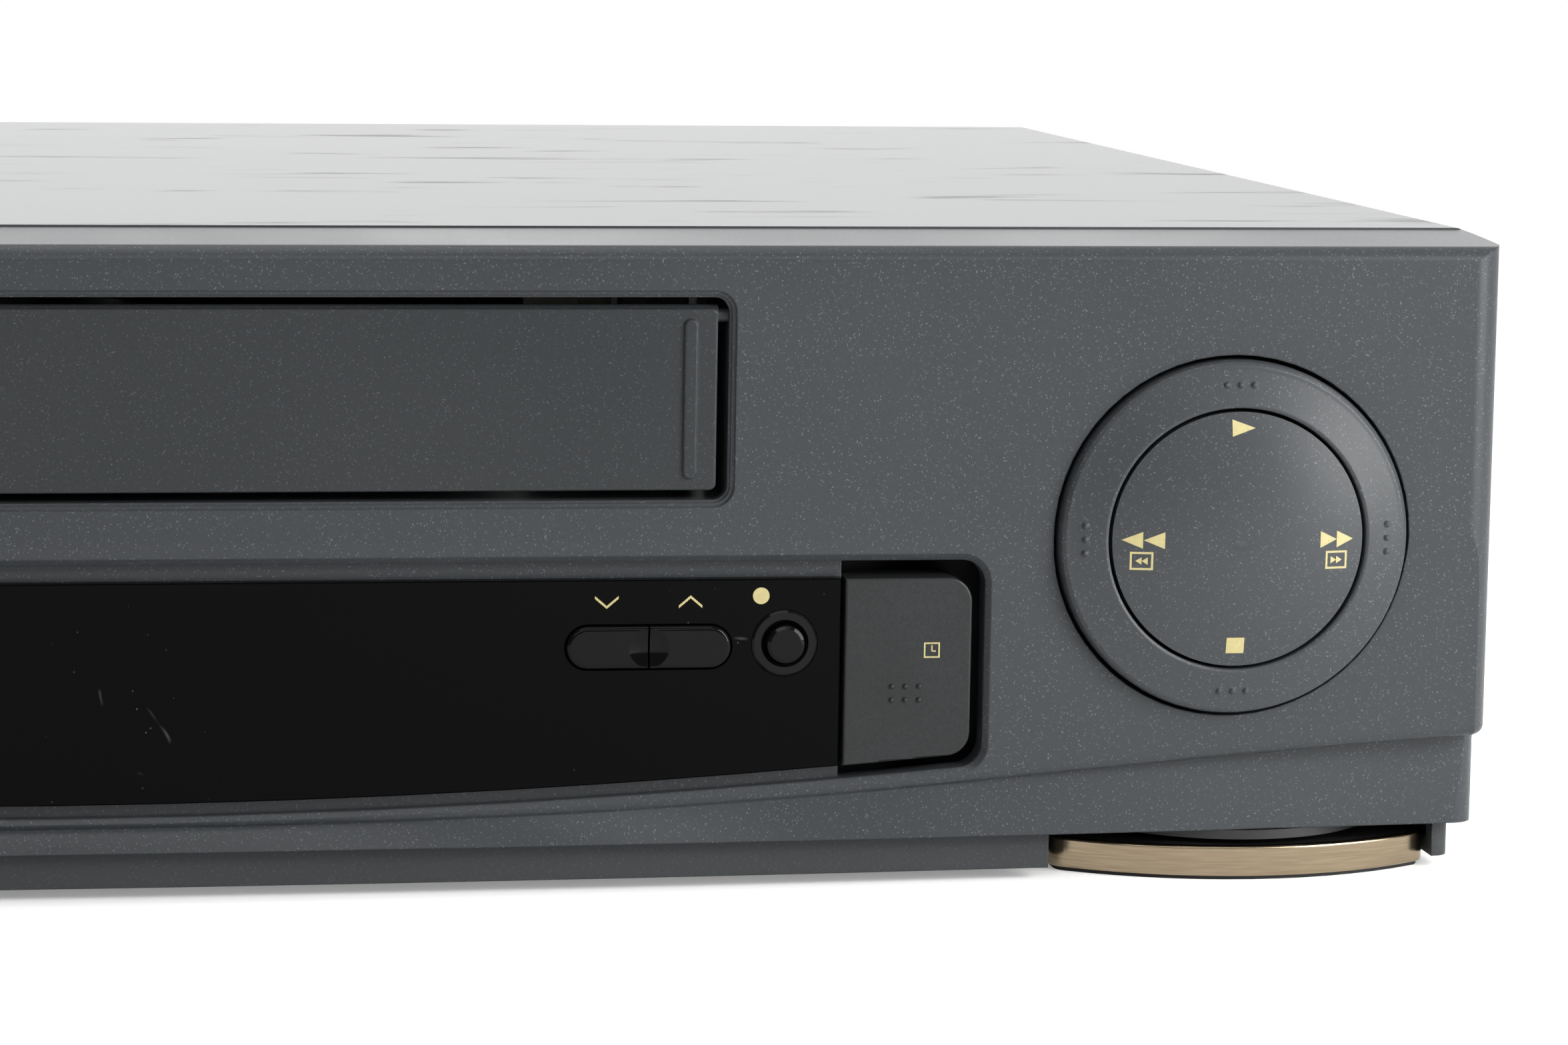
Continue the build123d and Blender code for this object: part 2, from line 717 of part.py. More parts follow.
# ---- Round control ----
def control_ring():
    """A four-way key: pressing it over a group of dots tilts it on its gimbal."""
    face = ring_edge_proud
    inner = ring_inner_proud
    outline = [
        (ring_r, ring_back),
        (ring_r, 1.2 - face),
        (ring_r - 0.25, 0.5 - face),
        (ring_r - 0.8, 0.1 - face),
        (ring_r - 1.4, -face),
        (ring_inner_r + 0.5, -inner),
        (ring_inner_r + 0.1, 0.15 - inner),
        (ring_inner_r, 0.5 - inner),
        (ring_inner_r, ring_back),
        (ring_inner_r + ring_wall, ring_back),
        (ring_inner_r + ring_wall, 2.2 - inner),
        (ring_r - ring_wall, 2.2 - face),
        (ring_r - ring_wall, ring_back),
    ]
    ring = turned(outline, control_x, control_z)
    slope = (inner - face) / (ring_r - 1.9 - ring_inner_r)
    dot_face = face + slope * (ring_r - 1.4 - dot_circle_r)
    prong_end = plunger_tip - 0.8 - 0.1
    for quarter in range(4):
        angle = math.radians(90 * quarter)
        out = (math.cos(angle), math.sin(angle))
        for step in (-1, 0, 1):
            x = control_x + dot_circle_r * out[0] - step * dot_pitch * out[1]
            z = control_z + dot_circle_r * out[1] + step * dot_pitch * out[0]
            ring += Pos(x, front_y - dot_face + 0.1, z) * Sphere(dot_r)
        x = control_x + dot_circle_r * out[0]
        z = control_z + dot_circle_r * out[1]
        ring += rod_back(x, (0, prong_end), z, 1.2)
    lug_r = ring_inner_r + ring_wall / 2
    for up in (-1, 1):
        lug_z = (control_z + up * (lug_r - ring_wall / 2), control_z + up * (lug_r + ring_wall / 2))
        lug_d = (ring_back - 3, gimbal_depth + 2)
        ring += box((control_x - 2.5, control_x + 2.5), lug_d, sorted(lug_z))
        pin = Pos(control_x, front_y + gimbal_depth, control_z + up * (gimbal_outer_r + ring_inner_r) / 2)
        ring += pin * Cylinder(gimbal_pin_r, ring_inner_r - gimbal_outer_r + 4)
    return ring


def control_gimbal():
    d = (gimbal_depth - gimbal_height / 2, gimbal_depth + gimbal_height / 2)
    ring = rod_back(control_x, d, control_z, gimbal_outer_r)
    ring -= rod_back(control_x, d, control_z, gimbal_inner_r)
    bore_r = gimbal_pin_r + fit_gap
    span = (control_x - 2 * gimbal_outer_r, control_x + 2 * gimbal_outer_r)
    ring -= rod_across(span, gimbal_depth, control_z, bore_r)
    upright = Pos(control_x, front_y + gimbal_depth, control_z)
    return ring - upright * Cylinder(bore_r, 4 * gimbal_outer_r)


def control_dome():
    """The fixed domed cap with a hollow back and a boss that seats on its bracket."""
    rim = 0.2 - ring_inner_proud
    radius = (dome_r**2 + dome_rise**2) / (2 * dome_rise)
    plane = Plane((control_x, front_y, control_z))
    cap = ThreePointArc(
        (0, rim - dome_rise),
        (dome_r / 2, rim - dome_rise + radius - math.sqrt(radius**2 - dome_r**2 / 4)),
        (dome_r, rim),
    )
    inside = Polyline(
        (dome_r, rim),
        (dome_r, 1.0),
        (dome_r - dome_wall, 1.0),
        (dome_r - dome_wall, rim + dome_wall),
        (4.0, rim + dome_wall - dome_rise / 2),
        (4.0, 2.0),
        (0, 2.0),
        (0, rim - dome_rise),
    )
    outline = plane * make_face([cap, *inside.edges()])
    return revolve(outline, Axis((control_x, front_y, control_z), (0, 1, 0)), 360)


def control_bracket():
    """Carries the dome's boss and the gimbal's two side pins, on four arms to the bezel."""
    plate = (bracket_depth, bracket_depth + bracket_thickness)
    bracket = rod_back(control_x, plate, control_z, 9.0)
    bracket += rod_back(control_x, (2.0, bracket_depth + 0.5), control_z, 5.0)
    pins = (control_x - gimbal_inner_r - 2, control_x + gimbal_inner_r + 2)
    bracket += rod_across(pins, gimbal_depth, control_z, gimbal_pin_r)
    for x, z in control_corners():
        bracket += rod_back(x, plate, z, 4.0)
        angle = math.degrees(math.atan2(z - control_z, x - control_x))
        middle = Pos((x + control_x) / 2, front_y + mid(plate), (z + control_z) / 2)
        bracket += middle * Rot(0, -angle, 0) * Box(bracket_reach, bracket_thickness, 5.0)
    return bracket


# ---- Front board ----
def board_d():
    return (board_depth, board_depth + board_thickness)


def switch_places():
    key_x = mid((key_inner_x, key_outer_x))
    key_z = mid((27, window_top - 6))
    places = [(rocker_x - rocker_width / 4, rocker_z), (rocker_x + rocker_width / 4, rocker_z)]
    places += [(rec_x, rec_z), (key_x, key_z), (-key_x, key_z), (eject_x, eject_z)]
    for quarter in range(4):
        angle = math.radians(90 * quarter)
        x = control_x + dot_circle_r * math.cos(angle)
        places.append((x, control_z + dot_circle_r * math.sin(angle)))
    return places


def front_board():
    low = floor_top + 6
    board = box((-recess_half - 3, recess_half + 3), board_d(), (low, crease_z))
    right = (recess_half, control_x + dot_circle_r + 8)
    board += box(right, board_d(), (control_z - 29, control_z + 31))
    board += box((eject_x - 18, eject_x + 30), board_d(), (crease_z - 10, eject_z + 9))
    for x, z in control_corners():
        board -= rod_back(x, board_d(), z, 1.6)
    return board


def front_switches():
    switches = []
    for x, z in switch_places():
        d = (board_depth - switch_height, board_depth)
        body = box((x - switch_size / 2, x + switch_size / 2), d, (z - switch_size / 2, z + switch_size / 2))
        switches.append(body + rod_back(x, (plunger_tip, d[0] + 0.2), z, plunger_r))
    return Compound(children=switches)


def display_module():
    """The glass display tube behind the window, on two spacers to the board."""
    glass = box((-52, 52), (lower_back + 1.0, lower_back + 7.0), (23, 41))
    spacers = both_sides(box((40, 46), (lower_back + 7.0, board_depth), (28, 36)))
    return glass + spacers


# ---- Base ----
def niche(z):
    """The open corner under the case where a front foot sits."""
    return both_sides(box((niche_inner, niche_outer), (-9, niche_length), z))


def deck_posts():
    x = deck_half - deck_post_inset
    ends = (deck_front + deck_post_inset, deck_back - deck_post_inset)
    return [(side * x, d) for side in (-1, 1) for d in ends]


def board_posts():
    across = (deck_half + 29, half - 19)
    along = (80, case_depth - 60)
    return [(side * x, d) for side in (-1, 1) for x in across for d in along]


def base_tray():
    bowed = base_set_back - skirt_proud
    back = rear_panel_back
    outer = bowed_plan(bowed, base_half, back, 2.5)
    inner = bowed_plan(bowed + base_wall, base_half - base_wall, back + 9, 1.0)
    tray = from_above(outer, (base_clear, base_side_z)) - from_above(inner, (floor_top, 99))
    # the rear panel closes the back
    at_panel = back - rear_panel_thickness - rear_panel_gap
    tray -= box((-half, half), (at_panel, 999), (floor_top, 99))
    # the front wall stops just under the skirt
    tray -= box((-half, half), (-9, bezel_depth + 5), (skirt_z - 0.1, 99))
    tray -= niche((0, roof_z))
    edge = (niche_inner - base_wall, niche_inner)
    walls = both_sides(box(edge, (8.8, niche_length + base_wall), (base_clear, roof_z)))
    back_wall = (niche_length, niche_length + base_wall)
    walls += both_sides(box((niche_inner - 0.5, base_half - 1), back_wall, (base_clear, roof_z)))
    roof = (8.8, niche_length + base_wall)
    walls += both_sides(box((edge[0], half - wall - 0.4), roof, (roof_z, roof_z + niche_roof)))
    tray += walls
    for x, d in deck_posts():
        tray += disc(x, d, (floor_top - 1, deck_z), deck_post_r)
        tray -= disc(x, d, (floor_top, deck_z + 1), screw_r + fit_gap)
    for x, d in board_posts():
        tray += disc(x, d, (floor_top - 1, board_z), 3.0)
    rib_d = (board_depth - 2.5, board_depth + board_thickness + 2.5)
    slot_d = (board_depth - 0.1, board_depth + board_thickness + 0.1)
    ribs = both_sides(box((98, 101), rib_d, (floor_top - 1, floor_top + 12)))
    tray += ribs - box((-half, half), slot_d, (floor_top + 5.95, 99))
    # cooling slots under the power supply
    for step in range(9):
        d = 110 + 12 * step
        tray -= box((deck_half + 35, half - 27), (d, d + 4), (0, floor_top + 1))
    return tray


def foot_plan(inset):
    """A foot's plan: a shallow arc in front, straight sides and back, rounded corners."""
    w = foot_half - inset
    front = foot_set_back + inset
    sag = foot_front_r - math.sqrt(foot_front_r**2 - w**2)
    back = foot_set_back + foot_length - inset
    arc = ThreePointArc((-w, front + sag), (0, front), (w, front + sag))
    sides = Polyline((w, front + sag), (w, back), (-w, back), (-w, front + sag))
    outline = make_face([arc, *sides.edges()])
    return Pos(foot_x, 0) * fillet(outline.vertices(), foot_corner_r - inset)


def front_feet():
    body = from_above(foot_plan(band_wall), (pad_thickness, band_top_z))
    neck_d = foot_set_back + neck_gap + neck_r
    neck = disc(foot_x, neck_d, (band_top_z + neck_gap, skirt_z - 0.1), neck_r)
    niche_room = box((niche_inner + 1, niche_outer - 1), (0, niche_length - 1), (0, roof_z))
    middle = foot_set_back + foot_length / 2 + 3
    stem = disc(foot_x, middle, (band_top_z - 1, roof_z), foot_stem_r)
    return both_sides(body + (neck & niche_room) + stem)


def foot_bands():
    band = from_above(foot_plan(0), (pad_thickness, band_top_z))
    edge = band.edges().group_by(Axis.Z)
    band = fillet(edge[0] + edge[-1], 0.4)
    return both_sides(band - from_above(foot_plan(band_wall), (0, 9)))


def foot_pads():
    return both_sides(from_above(foot_plan(0.8), (0, pad_thickness)))


def rear_feet():
    x = base_half - rear_foot_inset
    d = case_depth - rear_foot_inset
    outline = [(0, 0), (rear_foot_r - 1.0, 0), (rear_foot_r, 1.0)]
    outline += [(rear_foot_r, base_clear), (0, base_clear)]
    return both_sides(spun(outline, x, d))


# ---- Cover and rear ----
def cover_screw_places():
    return [(x, case_top - 5.5) for x in (-half + 30, 0, half - 30)]


def top_cover():
    d = (bezel_depth + seam_gap, case_depth)
    height = case_top - cover_side_z
    outer = Rectangle(case_width, 2 * height)
    outer = fillet(outer.vertices(), cover_edge_r)
    inner = Rectangle(case_width - 2 * sheet, 2 * (height - sheet))
    inner = fillet(inner.vertices(), cover_edge_r - sheet)
    place = Pos(0, cover_side_z)
    upper = Pos(0, case_top / 2 + cover_side_z) * Rectangle(2 * case_width, case_top)
    section = (place * (outer - inner)) & upper
    cover = from_front(section, d)
    flange_z = (case_top - cover_flange, case_top - sheet)
    flange_x = half - cover_edge_r
    cover += box((-flange_x, flange_x), (case_depth - sheet, case_depth), flange_z)
    for x, z in cover_screw_places():
        cover -= rod_back(x, (case_depth - 2, case_depth + 1), z, 2.0)
    vents = Sketch() + [
        Pos(case_depth - 100 + 7 * column, 62 - 28 * row) * SlotOverall(22, 3, 90)
        for column in range(11)
        for row in range(2)
    ]
    return cover - from_side(vents, (-half - 1, half + 1))


def rear_panel():
    d = (rear_panel_back - rear_panel_thickness, rear_panel_back)
    top = case_top - sheet - rear_panel_gap
    x = half - sheet - rear_panel_gap
    sheet_outline = RectangleRounded(2 * x, top - cover_side_z, cover_edge_r)
    panel = from_front(Pos(0, mid((cover_side_z, top))) * sheet_outline, d)
    panel += box((-base_half + 5, base_half - 5), d, (floor_top, cover_side_z))
    for z in scart_z:
        opening = Pos(scart_x, z) * Rectangle(scart_width + 0.6, scart_height + 0.6)
        panel -= from_front(opening, (d[0] - 1, d[1] + 1))
    for z in phono_z:
        panel -= rod_back(phono_x, (d[0] - 1, d[1] + 1), z, phono_r + 1.0)
    for z in aerial_z:
        panel -= rod_back(aerial_x, (d[0] - 1, d[1] + 1), z, aerial_r + 0.8)
    inlet = Pos(inlet_x, inlet_z) * Rectangle(24.6, 16.6)
    panel -= from_front(inlet, (d[0] - 1, d[1] + 1))
    for x, z in cover_screw_places():
        panel -= rod_back(x, (d[0] - 1, d[1] + 1), z, 1.6)
    for column in range(14):
        slot = Pos(half - 115 + 7.5 * column, rear_vent_z) * SlotOverall(rear_vent_length, 3.4, 90)
        panel -= from_front(slot, (d[0] - 1, d[1] + 1))
    return panel


def cover_screws():
    screws = []
    for x, z in cover_screw_places():
        head = (case_depth, case_depth + 2.2)
        screw = rod_back(x, head, z, 3.6)
        screw = fillet(screw.edges().group_by(Axis.Y)[-1], 0.9)
        screw += rod_back(x, (case_depth - 9, case_depth + 0.5), z, 1.5)
        screw -= box((x - 2.2, x + 2.2), (head[1] - 1.1, head[1] + 1), (z - 0.5, z + 0.5))
        screw -= box((x - 0.5, x + 0.5), (head[1] - 1.1, head[1] + 1), (z - 2.2, z + 2.2))
        screws.append(screw)
    return Compound(children=screws)


def scart_sockets():
    """Two Euro AV sockets, one over the other: shell, keyed cavity and contact tongue."""
    sockets = []
    back = rear_panel_back + scart_proud
    for z in scart_z:
        outer = Pos(scart_x, z) * Rectangle(scart_width, scart_height)
        shell = from_front(outer, (back - 20, back))
        w = scart_width / 2 - scart_rim
        h = scart_height / 2 - scart_rim - 1.6
        key = [(-w, -h), (w - 4, -h), (w, -h + 4), (w, h), (-w, h)]
        cavity = Pos(scart_x, z) * make_face(Polyline(*key, close=True))
        shell -= from_front(cavity, (back - 14, back + 1))
        for row in (-1, 1):
            contacts = (z + row * 2.2 - 0.5, z + row * 2.2 + 0.5)
            shell += box((scart_x - 17, scart_x + 17), (back - 15, back - 5), contacts)
        sockets.append(shell)
    return Compound(children=sockets)


def phono_sockets():
    sockets = []
    for z in phono_z:
        back = rear_panel_back
        socket = box((phono_x - 6, phono_x + 6), (back - 14, back - 2.3), (z - 6, z + 6))
        socket += rod_back(phono_x, (back - 3, back + phono_length), z, phono_r)
        sockets.append(socket - rod_back(phono_x, (back - 6, back + 99), z, phono_bore_r))
    return Compound(children=sockets)


def aerial_sockets():
    """Aerial in, with a hollow centre contact, and aerial out, with a centre pin."""
    sockets = []
    back = rear_panel_back
    for index, z in enumerate(aerial_z):
        socket = rod_back(aerial_x, (back - rear_panel_thickness - 0.5, back + aerial_length), z, aerial_r)
        cavity = (back + 1, back + 99)
        socket -= rod_back(aerial_x, cavity, z, aerial_r - 0.8)
        pin_end = back + aerial_length - 0.5
        socket += rod_back(aerial_x, (back, pin_end), z, 1.2 if index else 2.0)
        if not index:
            socket -= rod_back(aerial_x, cavity, z, 1.2)
        sockets.append(socket)
    return Compound(children=sockets)


def mains_inlet():
    """A figure-of-eight inlet with two pins. The lead that fits it pulls out."""
    back = rear_panel_back
    shell = box((inlet_x - 12, inlet_x + 12), (back - 16, back + 1.5), (inlet_z - 8, inlet_z + 8))
    cavity = Pos(inlet_x, inlet_z) * SlotOverall(16.6, 9.4)
    shell -= from_front(cavity, (back - 12, back + 9))
    for side in (-1, 1):
        shell += rod_back(inlet_x + side * 4.3, (back - 13, back - 2), inlet_z, 1.2)
    return shell


# ---- Boards inside ----
def main_board():
    back = rear_panel_back - 10
    board = box((-half + 9, -deck_half - 16), (60, back), (board_z, board_z + board_thickness))
    return board


def tuner_box():
    back = rear_panel_back - rear_panel_thickness - 0.5
    x = (aerial_x - 15, aerial_x + 15)
    can = box(x, (deck_back + 4, back), (floor_top, 64))
    return can


def power_board():
    z = (board_z, board_z + board_thickness)
    board = box((deck_half + 16, half - 9), (60, rear_panel_back - 20), z)
    for step in range(3):
        board += disc(deck_half + 32, 100 + 24 * step, (z[1] - 0.2, z[1] + 24 - 5 * step), 9.0)
    fins = box((half - 28, half - 24), (140, 210), (z[1] - 0.2, 52))
    for step in range(8):
        fins += box((half - 24.2, half - 16), (141 + 9.5 * step, 143 + 9.5 * step), (z[1] + 4, 52))
    return board + fins


def transformer():
    """A laminated core with its winding across the middle."""
    x = deck_half + transformer_from_deck
    z0 = board_z + board_thickness
    core = box((x - 22, x + 22), (84, 122), (z0, z0 + 34))
    core -= box((x - 14, x + 14), (83, 123), (z0 + 7, z0 + 27))
    winding = box((x - 13.9, x + 13.9), (78, 128), (z0 + 7.1, z0 + 26.9))
    return core + winding + box((x - 15, x - 13), (90, 116), (z0 + 9, z0 + 25))


# ---- Deck ----
def guide_line(side):
    """The start, end and plan angle of a guide's slot."""
    start = (side * guide_start[0], guide_start[1])
    end = (side * guide_end[0], guide_end[1])
    return start, end, math.degrees(math.atan2(end[1] - start[1], end[0] - start[0]))


def pinion_at():
    teeth = loading_teeth + pinion_teeth
    return (loading_gear_at[0], loading_gear_at[1] + gear_module * teeth / 2)


def deck_plate():
    z = (deck_z, deck_top)
    plate = box((-deck_half, deck_half), (deck_front, deck_back), z)
    cut = (deck_z - 1, deck_top + 1)
    for x, d in deck_posts():
        plate -= disc(x, d, cut, screw_r + 0.4)
    for side in (-1, 1):
        start, end, angle = guide_line(side)
        length = math.dist(start, end) + guide_slot
        slot = Pos(mid((start[0], end[0])), mid((start[1], end[1]))) * SlotOverall(length, guide_slot, angle)
        plate -= from_above(slot, cut)
        x = side * reel_spacing / 2
        plate += disc(x, reel_depth, (deck_z, wheel_z - 0.3), 3.2)
        plate += disc(x, reel_depth, (deck_z, wheel_z + 9), reel_pin_r)
    plate -= disc(0, clutch_depth, cut, clutch_shaft_r + 0.2)
    plate -= disc(capstan_x, capstan_depth, cut, capstan_tube_r + fit_gap)
    plate -= disc(*pinion_at(), cut, 3.2)
    x, d = pinch_pivot
    plate += disc(x, d, (deck_z, deck_top + 1.3), 4.0) + disc(x, d, (deck_z, 42), pinch_pin_r)
    x, d = loading_gear_at
    plate += disc(x, d, (loading_gear_z[0] - 2, deck_z + 0.5), loading_pin_r)
    plate += disc(x, d, (loading_gear_z[0] - 1.5, loading_gear_z[0] - 0.5), loading_pin_r + 1.5)
    return plate


def deck_screws():
    screws = []
    for x, d in deck_posts():
        head = [(0, deck_z - 9), (screw_r, deck_z - 9), (screw_r, deck_top), (3.0, deck_top)]
        head += [(3.0, deck_top + 1.0), (2.2, deck_top + 1.8), (0, deck_top + 1.8)]
        screw = spun(head, x, d)
        cross = (deck_top + 0.9, deck_top + 3)
        screw -= box((x - 1.6, x + 1.6), (d - 0.4, d + 0.4), cross)
        screw -= box((x - 0.4, x + 0.4), (d - 1.6, d + 1.6), cross)
        screws.append(screw)
    return Compound(children=screws)


def on_drum(shape):
    """Moves a shape from the drum's own upright axis to its leaning place on the deck."""
    return Pos(0, front_y + drum_depth, drum_seat_z) * Rot(drum_tilt, 0, 0) * shape


def drum_disc(z, r):
    return Pos(0, 0, mid(z)) * Cylinder(r, z[1] - z[0])


def lower_drum():
    """The still half of the head drum, its shaft, and the pedestal that leans it."""
    drum = drum_disc((0, lower_drum_height), drum_r)
    drum = chamfer(drum.edges().group_by(Axis.Z)[0], 0.8)
    drum -= drum_disc((lower_drum_height - 8, lower_drum_height + 1), drum_r - 3)
    top = lower_drum_height + drum_gap + upper_drum_height
    drum += drum_disc((0, top + 2.5), drum_shaft_r)
    seat = disc(0, drum_depth, (deck_top, drum_seat_z + 3), drum_r - 5)
    return on_drum(drum) + seat


def upper_drum():
    """The turning half, with its two video heads in notches at the lower edge."""
    z = (lower_drum_height + drum_gap, lower_drum_height + drum_gap + upper_drum_height)
    drum = drum_disc(z, drum_r)
    drum = chamfer(drum.edges().group_by(Axis.Z)[-1], 0.6)
    drum -= drum_disc((z[1] - 3.0, z[1] + 1), drum_r - 6)
    drum += drum_disc((z[1] - 3.5, z[1] + 1.2), 9.0)
    drum -= drum_disc((z[0] - 1, z[1] + 2), drum_shaft_r + fit_gap)
    for side in (-1, 1):
        notch = Pos(side * (drum_r - 1.5), 0, z[0] + 1.2) * Box(4.0, 5.0, 2.6)
        head = Pos(side * (drum_r - 2.0), 0, z[0] + 1.9) * Box(4.0, 1.6, 1.4)
        drum = drum - notch + head
        drum += Pos(side * 15, 0, z[1] - 2.6) * Cylinder(2.2, 2.4)
    for step in range(3):
        drum -= Rot(0, 0, 30 + 120 * step) * Pos(17, 0, z[1] - 3) * Cylinder(3.5, 5)
    return on_drum(drum)


def capstan_housing():
    """A bearing tube through the deck, with a flange on top."""
    bottom = capstan_pulley_top + 0.8
    outline = [(capstan_r + fit_gap, bottom), (capstan_tube_r, bottom), (capstan_tube_r, deck_top)]
    outline += [(8.0, deck_top), (8.0, deck_top + 1.6), (capstan_tube_r, deck_top + 1.6)]
    outline += [(capstan_tube_r, 37), (capstan_r + fit_gap, 38)]
    return spun(outline, capstan_x, capstan_depth)


def flanged_pulley(r, shaft_r, top, bottom):
    """The (radius, z) outline of a belt pulley between two flanges, on a shaft."""
    low = belt_z - 1.0
    high = belt_z + belt_width + 1.0
    return [
        (0, bottom),
        (shaft_r, bottom),
        (shaft_r, low - 0.8),
        (r + 1.5, low - 0.8),
        (r + 1.5, low - 0.2),
        (r, low + 0.4),
        (r, high - 0.4),
        (r + 1.5, high + 0.2),
        (r + 1.5, high + 0.8),
        (shaft_r, high + 0.8),
        (shaft_r, top),
        (0, top),
    ]


def capstan():
    """The capstan shaft with its pulley and the flywheel that steadies it."""
    shape = spun(
        flanged_pulley(capstan_pulley_r, capstan_r, capstan_top_z, flywheel_z), capstan_x, capstan_depth
    )
    z = (flywheel_z, flywheel_z + flywheel_height)
    wheel = disc(capstan_x, capstan_depth, z, flywheel_r)
    wheel = chamfer(wheel.edges().group_by(Axis.Z)[-1], 0.6)
    dish = (z[1] - 2.0, z[1] + 1)
    wheel -= hoop(capstan_x, capstan_depth, dish, flywheel_r - 5, 11.0)
    return shape + wheel + disc(capstan_x, capstan_depth, (z[0], belt_z - 1.4), 6.0)


def pinch_rest():
    """The pinch roller's place at rest, swung back from the capstan."""
    x, d = pinch_pivot
    reach = pinch_r + capstan_r + pinch_gap
    engaged_x = capstan_x + reach / 2 - x
    engaged_d = capstan_depth + reach * math.sqrt(3) / 2 - d
    turn = math.radians(-pinch_swing)
    back_x = engaged_x * math.cos(turn) - engaged_d * math.sin(turn)
    back_d = engaged_x * math.sin(turn) + engaged_d * math.cos(turn)
    return x + back_x, d + back_d


def bar(a, b, width, z):
    """A flat bar in plan from point a to point b, with round ends."""
    length = math.dist(a, b) + width
    angle = math.degrees(math.atan2(b[1] - a[1], b[0] - a[0]))
    outline = Pos(mid((a[0], b[0])), mid((a[1], b[1]))) * SlotOverall(length, width, angle)
    return from_above(outline, z)


def pinch_arm():
    roller = pinch_rest()
    arm = bar(pinch_pivot, roller, 7.0, (35.5, 38.0))
    arm += disc(*pinch_pivot, (deck_top + 1.6, 40.5), 5.0)
    arm -= disc(*pinch_pivot, (deck_top, 50), pinch_pin_r + fit_gap)
    arm += disc(*roller, (36, 40 + pinch_height + 1.5), roller_pin_r)
    return arm + disc(*roller, (40 + pinch_height + 0.5, 40 + pinch_height + 1.7), roller_pin_r + 1.6)


def pinch_roller():
    roller = disc(*pinch_rest(), (40, 40 + pinch_height), pinch_r)
    ends = roller.edges().group_by(Axis.Z)
    roller = fillet(ends[0] + ends[-1], 0.6)
    return roller - disc(*pinch_rest(), (39, 60), roller_pin_r + fit_gap)


def reel(side):
    """A reel table: flange, hub, and a splined spindle for the cassette's spool."""
    x = side * reel_spacing / 2
    bore = reel_pin_r + fit_gap
    top = wheel_z + 9.5
    outline = [(bore, wheel_z), (reel_r, wheel_z), (reel_r, wheel_z + wheel_height)]
    outline += [(reel_r - 2, wheel_z + wheel_height), (reel_r - 3, wheel_z + 2), (12, wheel_z + 2)]
    outline += [(11.5, wheel_z + 7), (6, wheel_z + 8), (6, wheel_z + 19), (3, wheel_z + 22)]
    outline += [(0, wheel_z + 22), (0, top), (bore, top)]
    shape = spun(outline, x, reel_depth)
    for step in range(6):
        spline = Rot(0, 0, 60 * step) * Pos(6.4, 0, wheel_z + 12.5) * Box(2.4, 1.6, 9.0)
        shape += Pos(x, front_y + reel_depth, 0) * spline
    return shape


def idler_arm():
    wheel = (0, clutch_depth + idler_arm_length)
    z = (deck_top + 0.2, deck_top + 1.2)
    arm = bar((0, clutch_depth), wheel, 9.0, z) + disc(0, clutch_depth, z, 7.0)
    arm += disc(*wheel, (z[0], wheel_z + wheel_height + 0.5), idler_pin_r)
    return arm - disc(0, clutch_depth, (deck_z, 40), clutch_shaft_r + fit_gap)


def idler_wheel():
    """A driving wheel with a rubber tread, on the arm's pin."""
    wheel = (0, clutch_depth + idler_arm_length)
    z = (wheel_z, wheel_z + wheel_height)
    shape = disc(*wheel, z, idler_r)
    ends = shape.edges().group_by(Axis.Z)
    shape = fillet(ends[0] + ends[-1], 0.4)
    shape -= hoop(*wheel, (z[1] - 0.8, z[1] + 1), idler_r - 3, 4.0)
    return shape - disc(*wheel, (z[0] - 1, z[1] + 1), idler_pin_r + fit_gap)


def clutch_pulley():
    outline = flanged_pulley(clutch_pulley_r, clutch_shaft_r, wheel_z + wheel_height, belt_z - 3.0)
    shape = spun(outline, 0, clutch_depth)
    wheel = disc(0, clutch_depth, (wheel_z, wheel_z + wheel_height), clutch_r)
    wheel = fillet(wheel.edges().group_by(Axis.Z)[-1], 0.4)
    return shape + wheel + disc(0, clutch_depth, (wheel_z, wheel_z + 5), 8.0)


def drive_belt():
    """An open belt from the capstan's pulley to the clutch's, below the deck."""
    a = (0.0, clutch_depth, clutch_pulley_r + belt_gap)
    b = (capstan_x, capstan_depth, capstan_pulley_r + belt_gap)
    z = (belt_z, belt_z + belt_width)
    return belt_solid(a, b, belt_thickness, z) - belt_solid(a, b, 0, (z[0] - 1, z[1] + 1))


def belt_solid(a, b, grow, z):
    """The filled outline of a belt round two wheels, each given as x, depth, radius."""
    span = math.dist(a[:2], b[:2])
    heading = math.atan2(b[1] - a[1], b[0] - a[0])
    lean = math.acos((a[2] - b[2]) / span)
    corners = []
    for wheel, turn in ((a, 1), (b, 1), (b, -1), (a, -1)):
        angle = heading + turn * lean
        r = wheel[2] + grow
        corners.append((wheel[0] + r * math.cos(angle), wheel[1] + r * math.sin(angle)))
    shape = from_above(make_face(Polyline(*corners, close=True)), z)
    for x, d, r in (a, b):
        shape += disc(x, d, z, r + grow)
    return shape


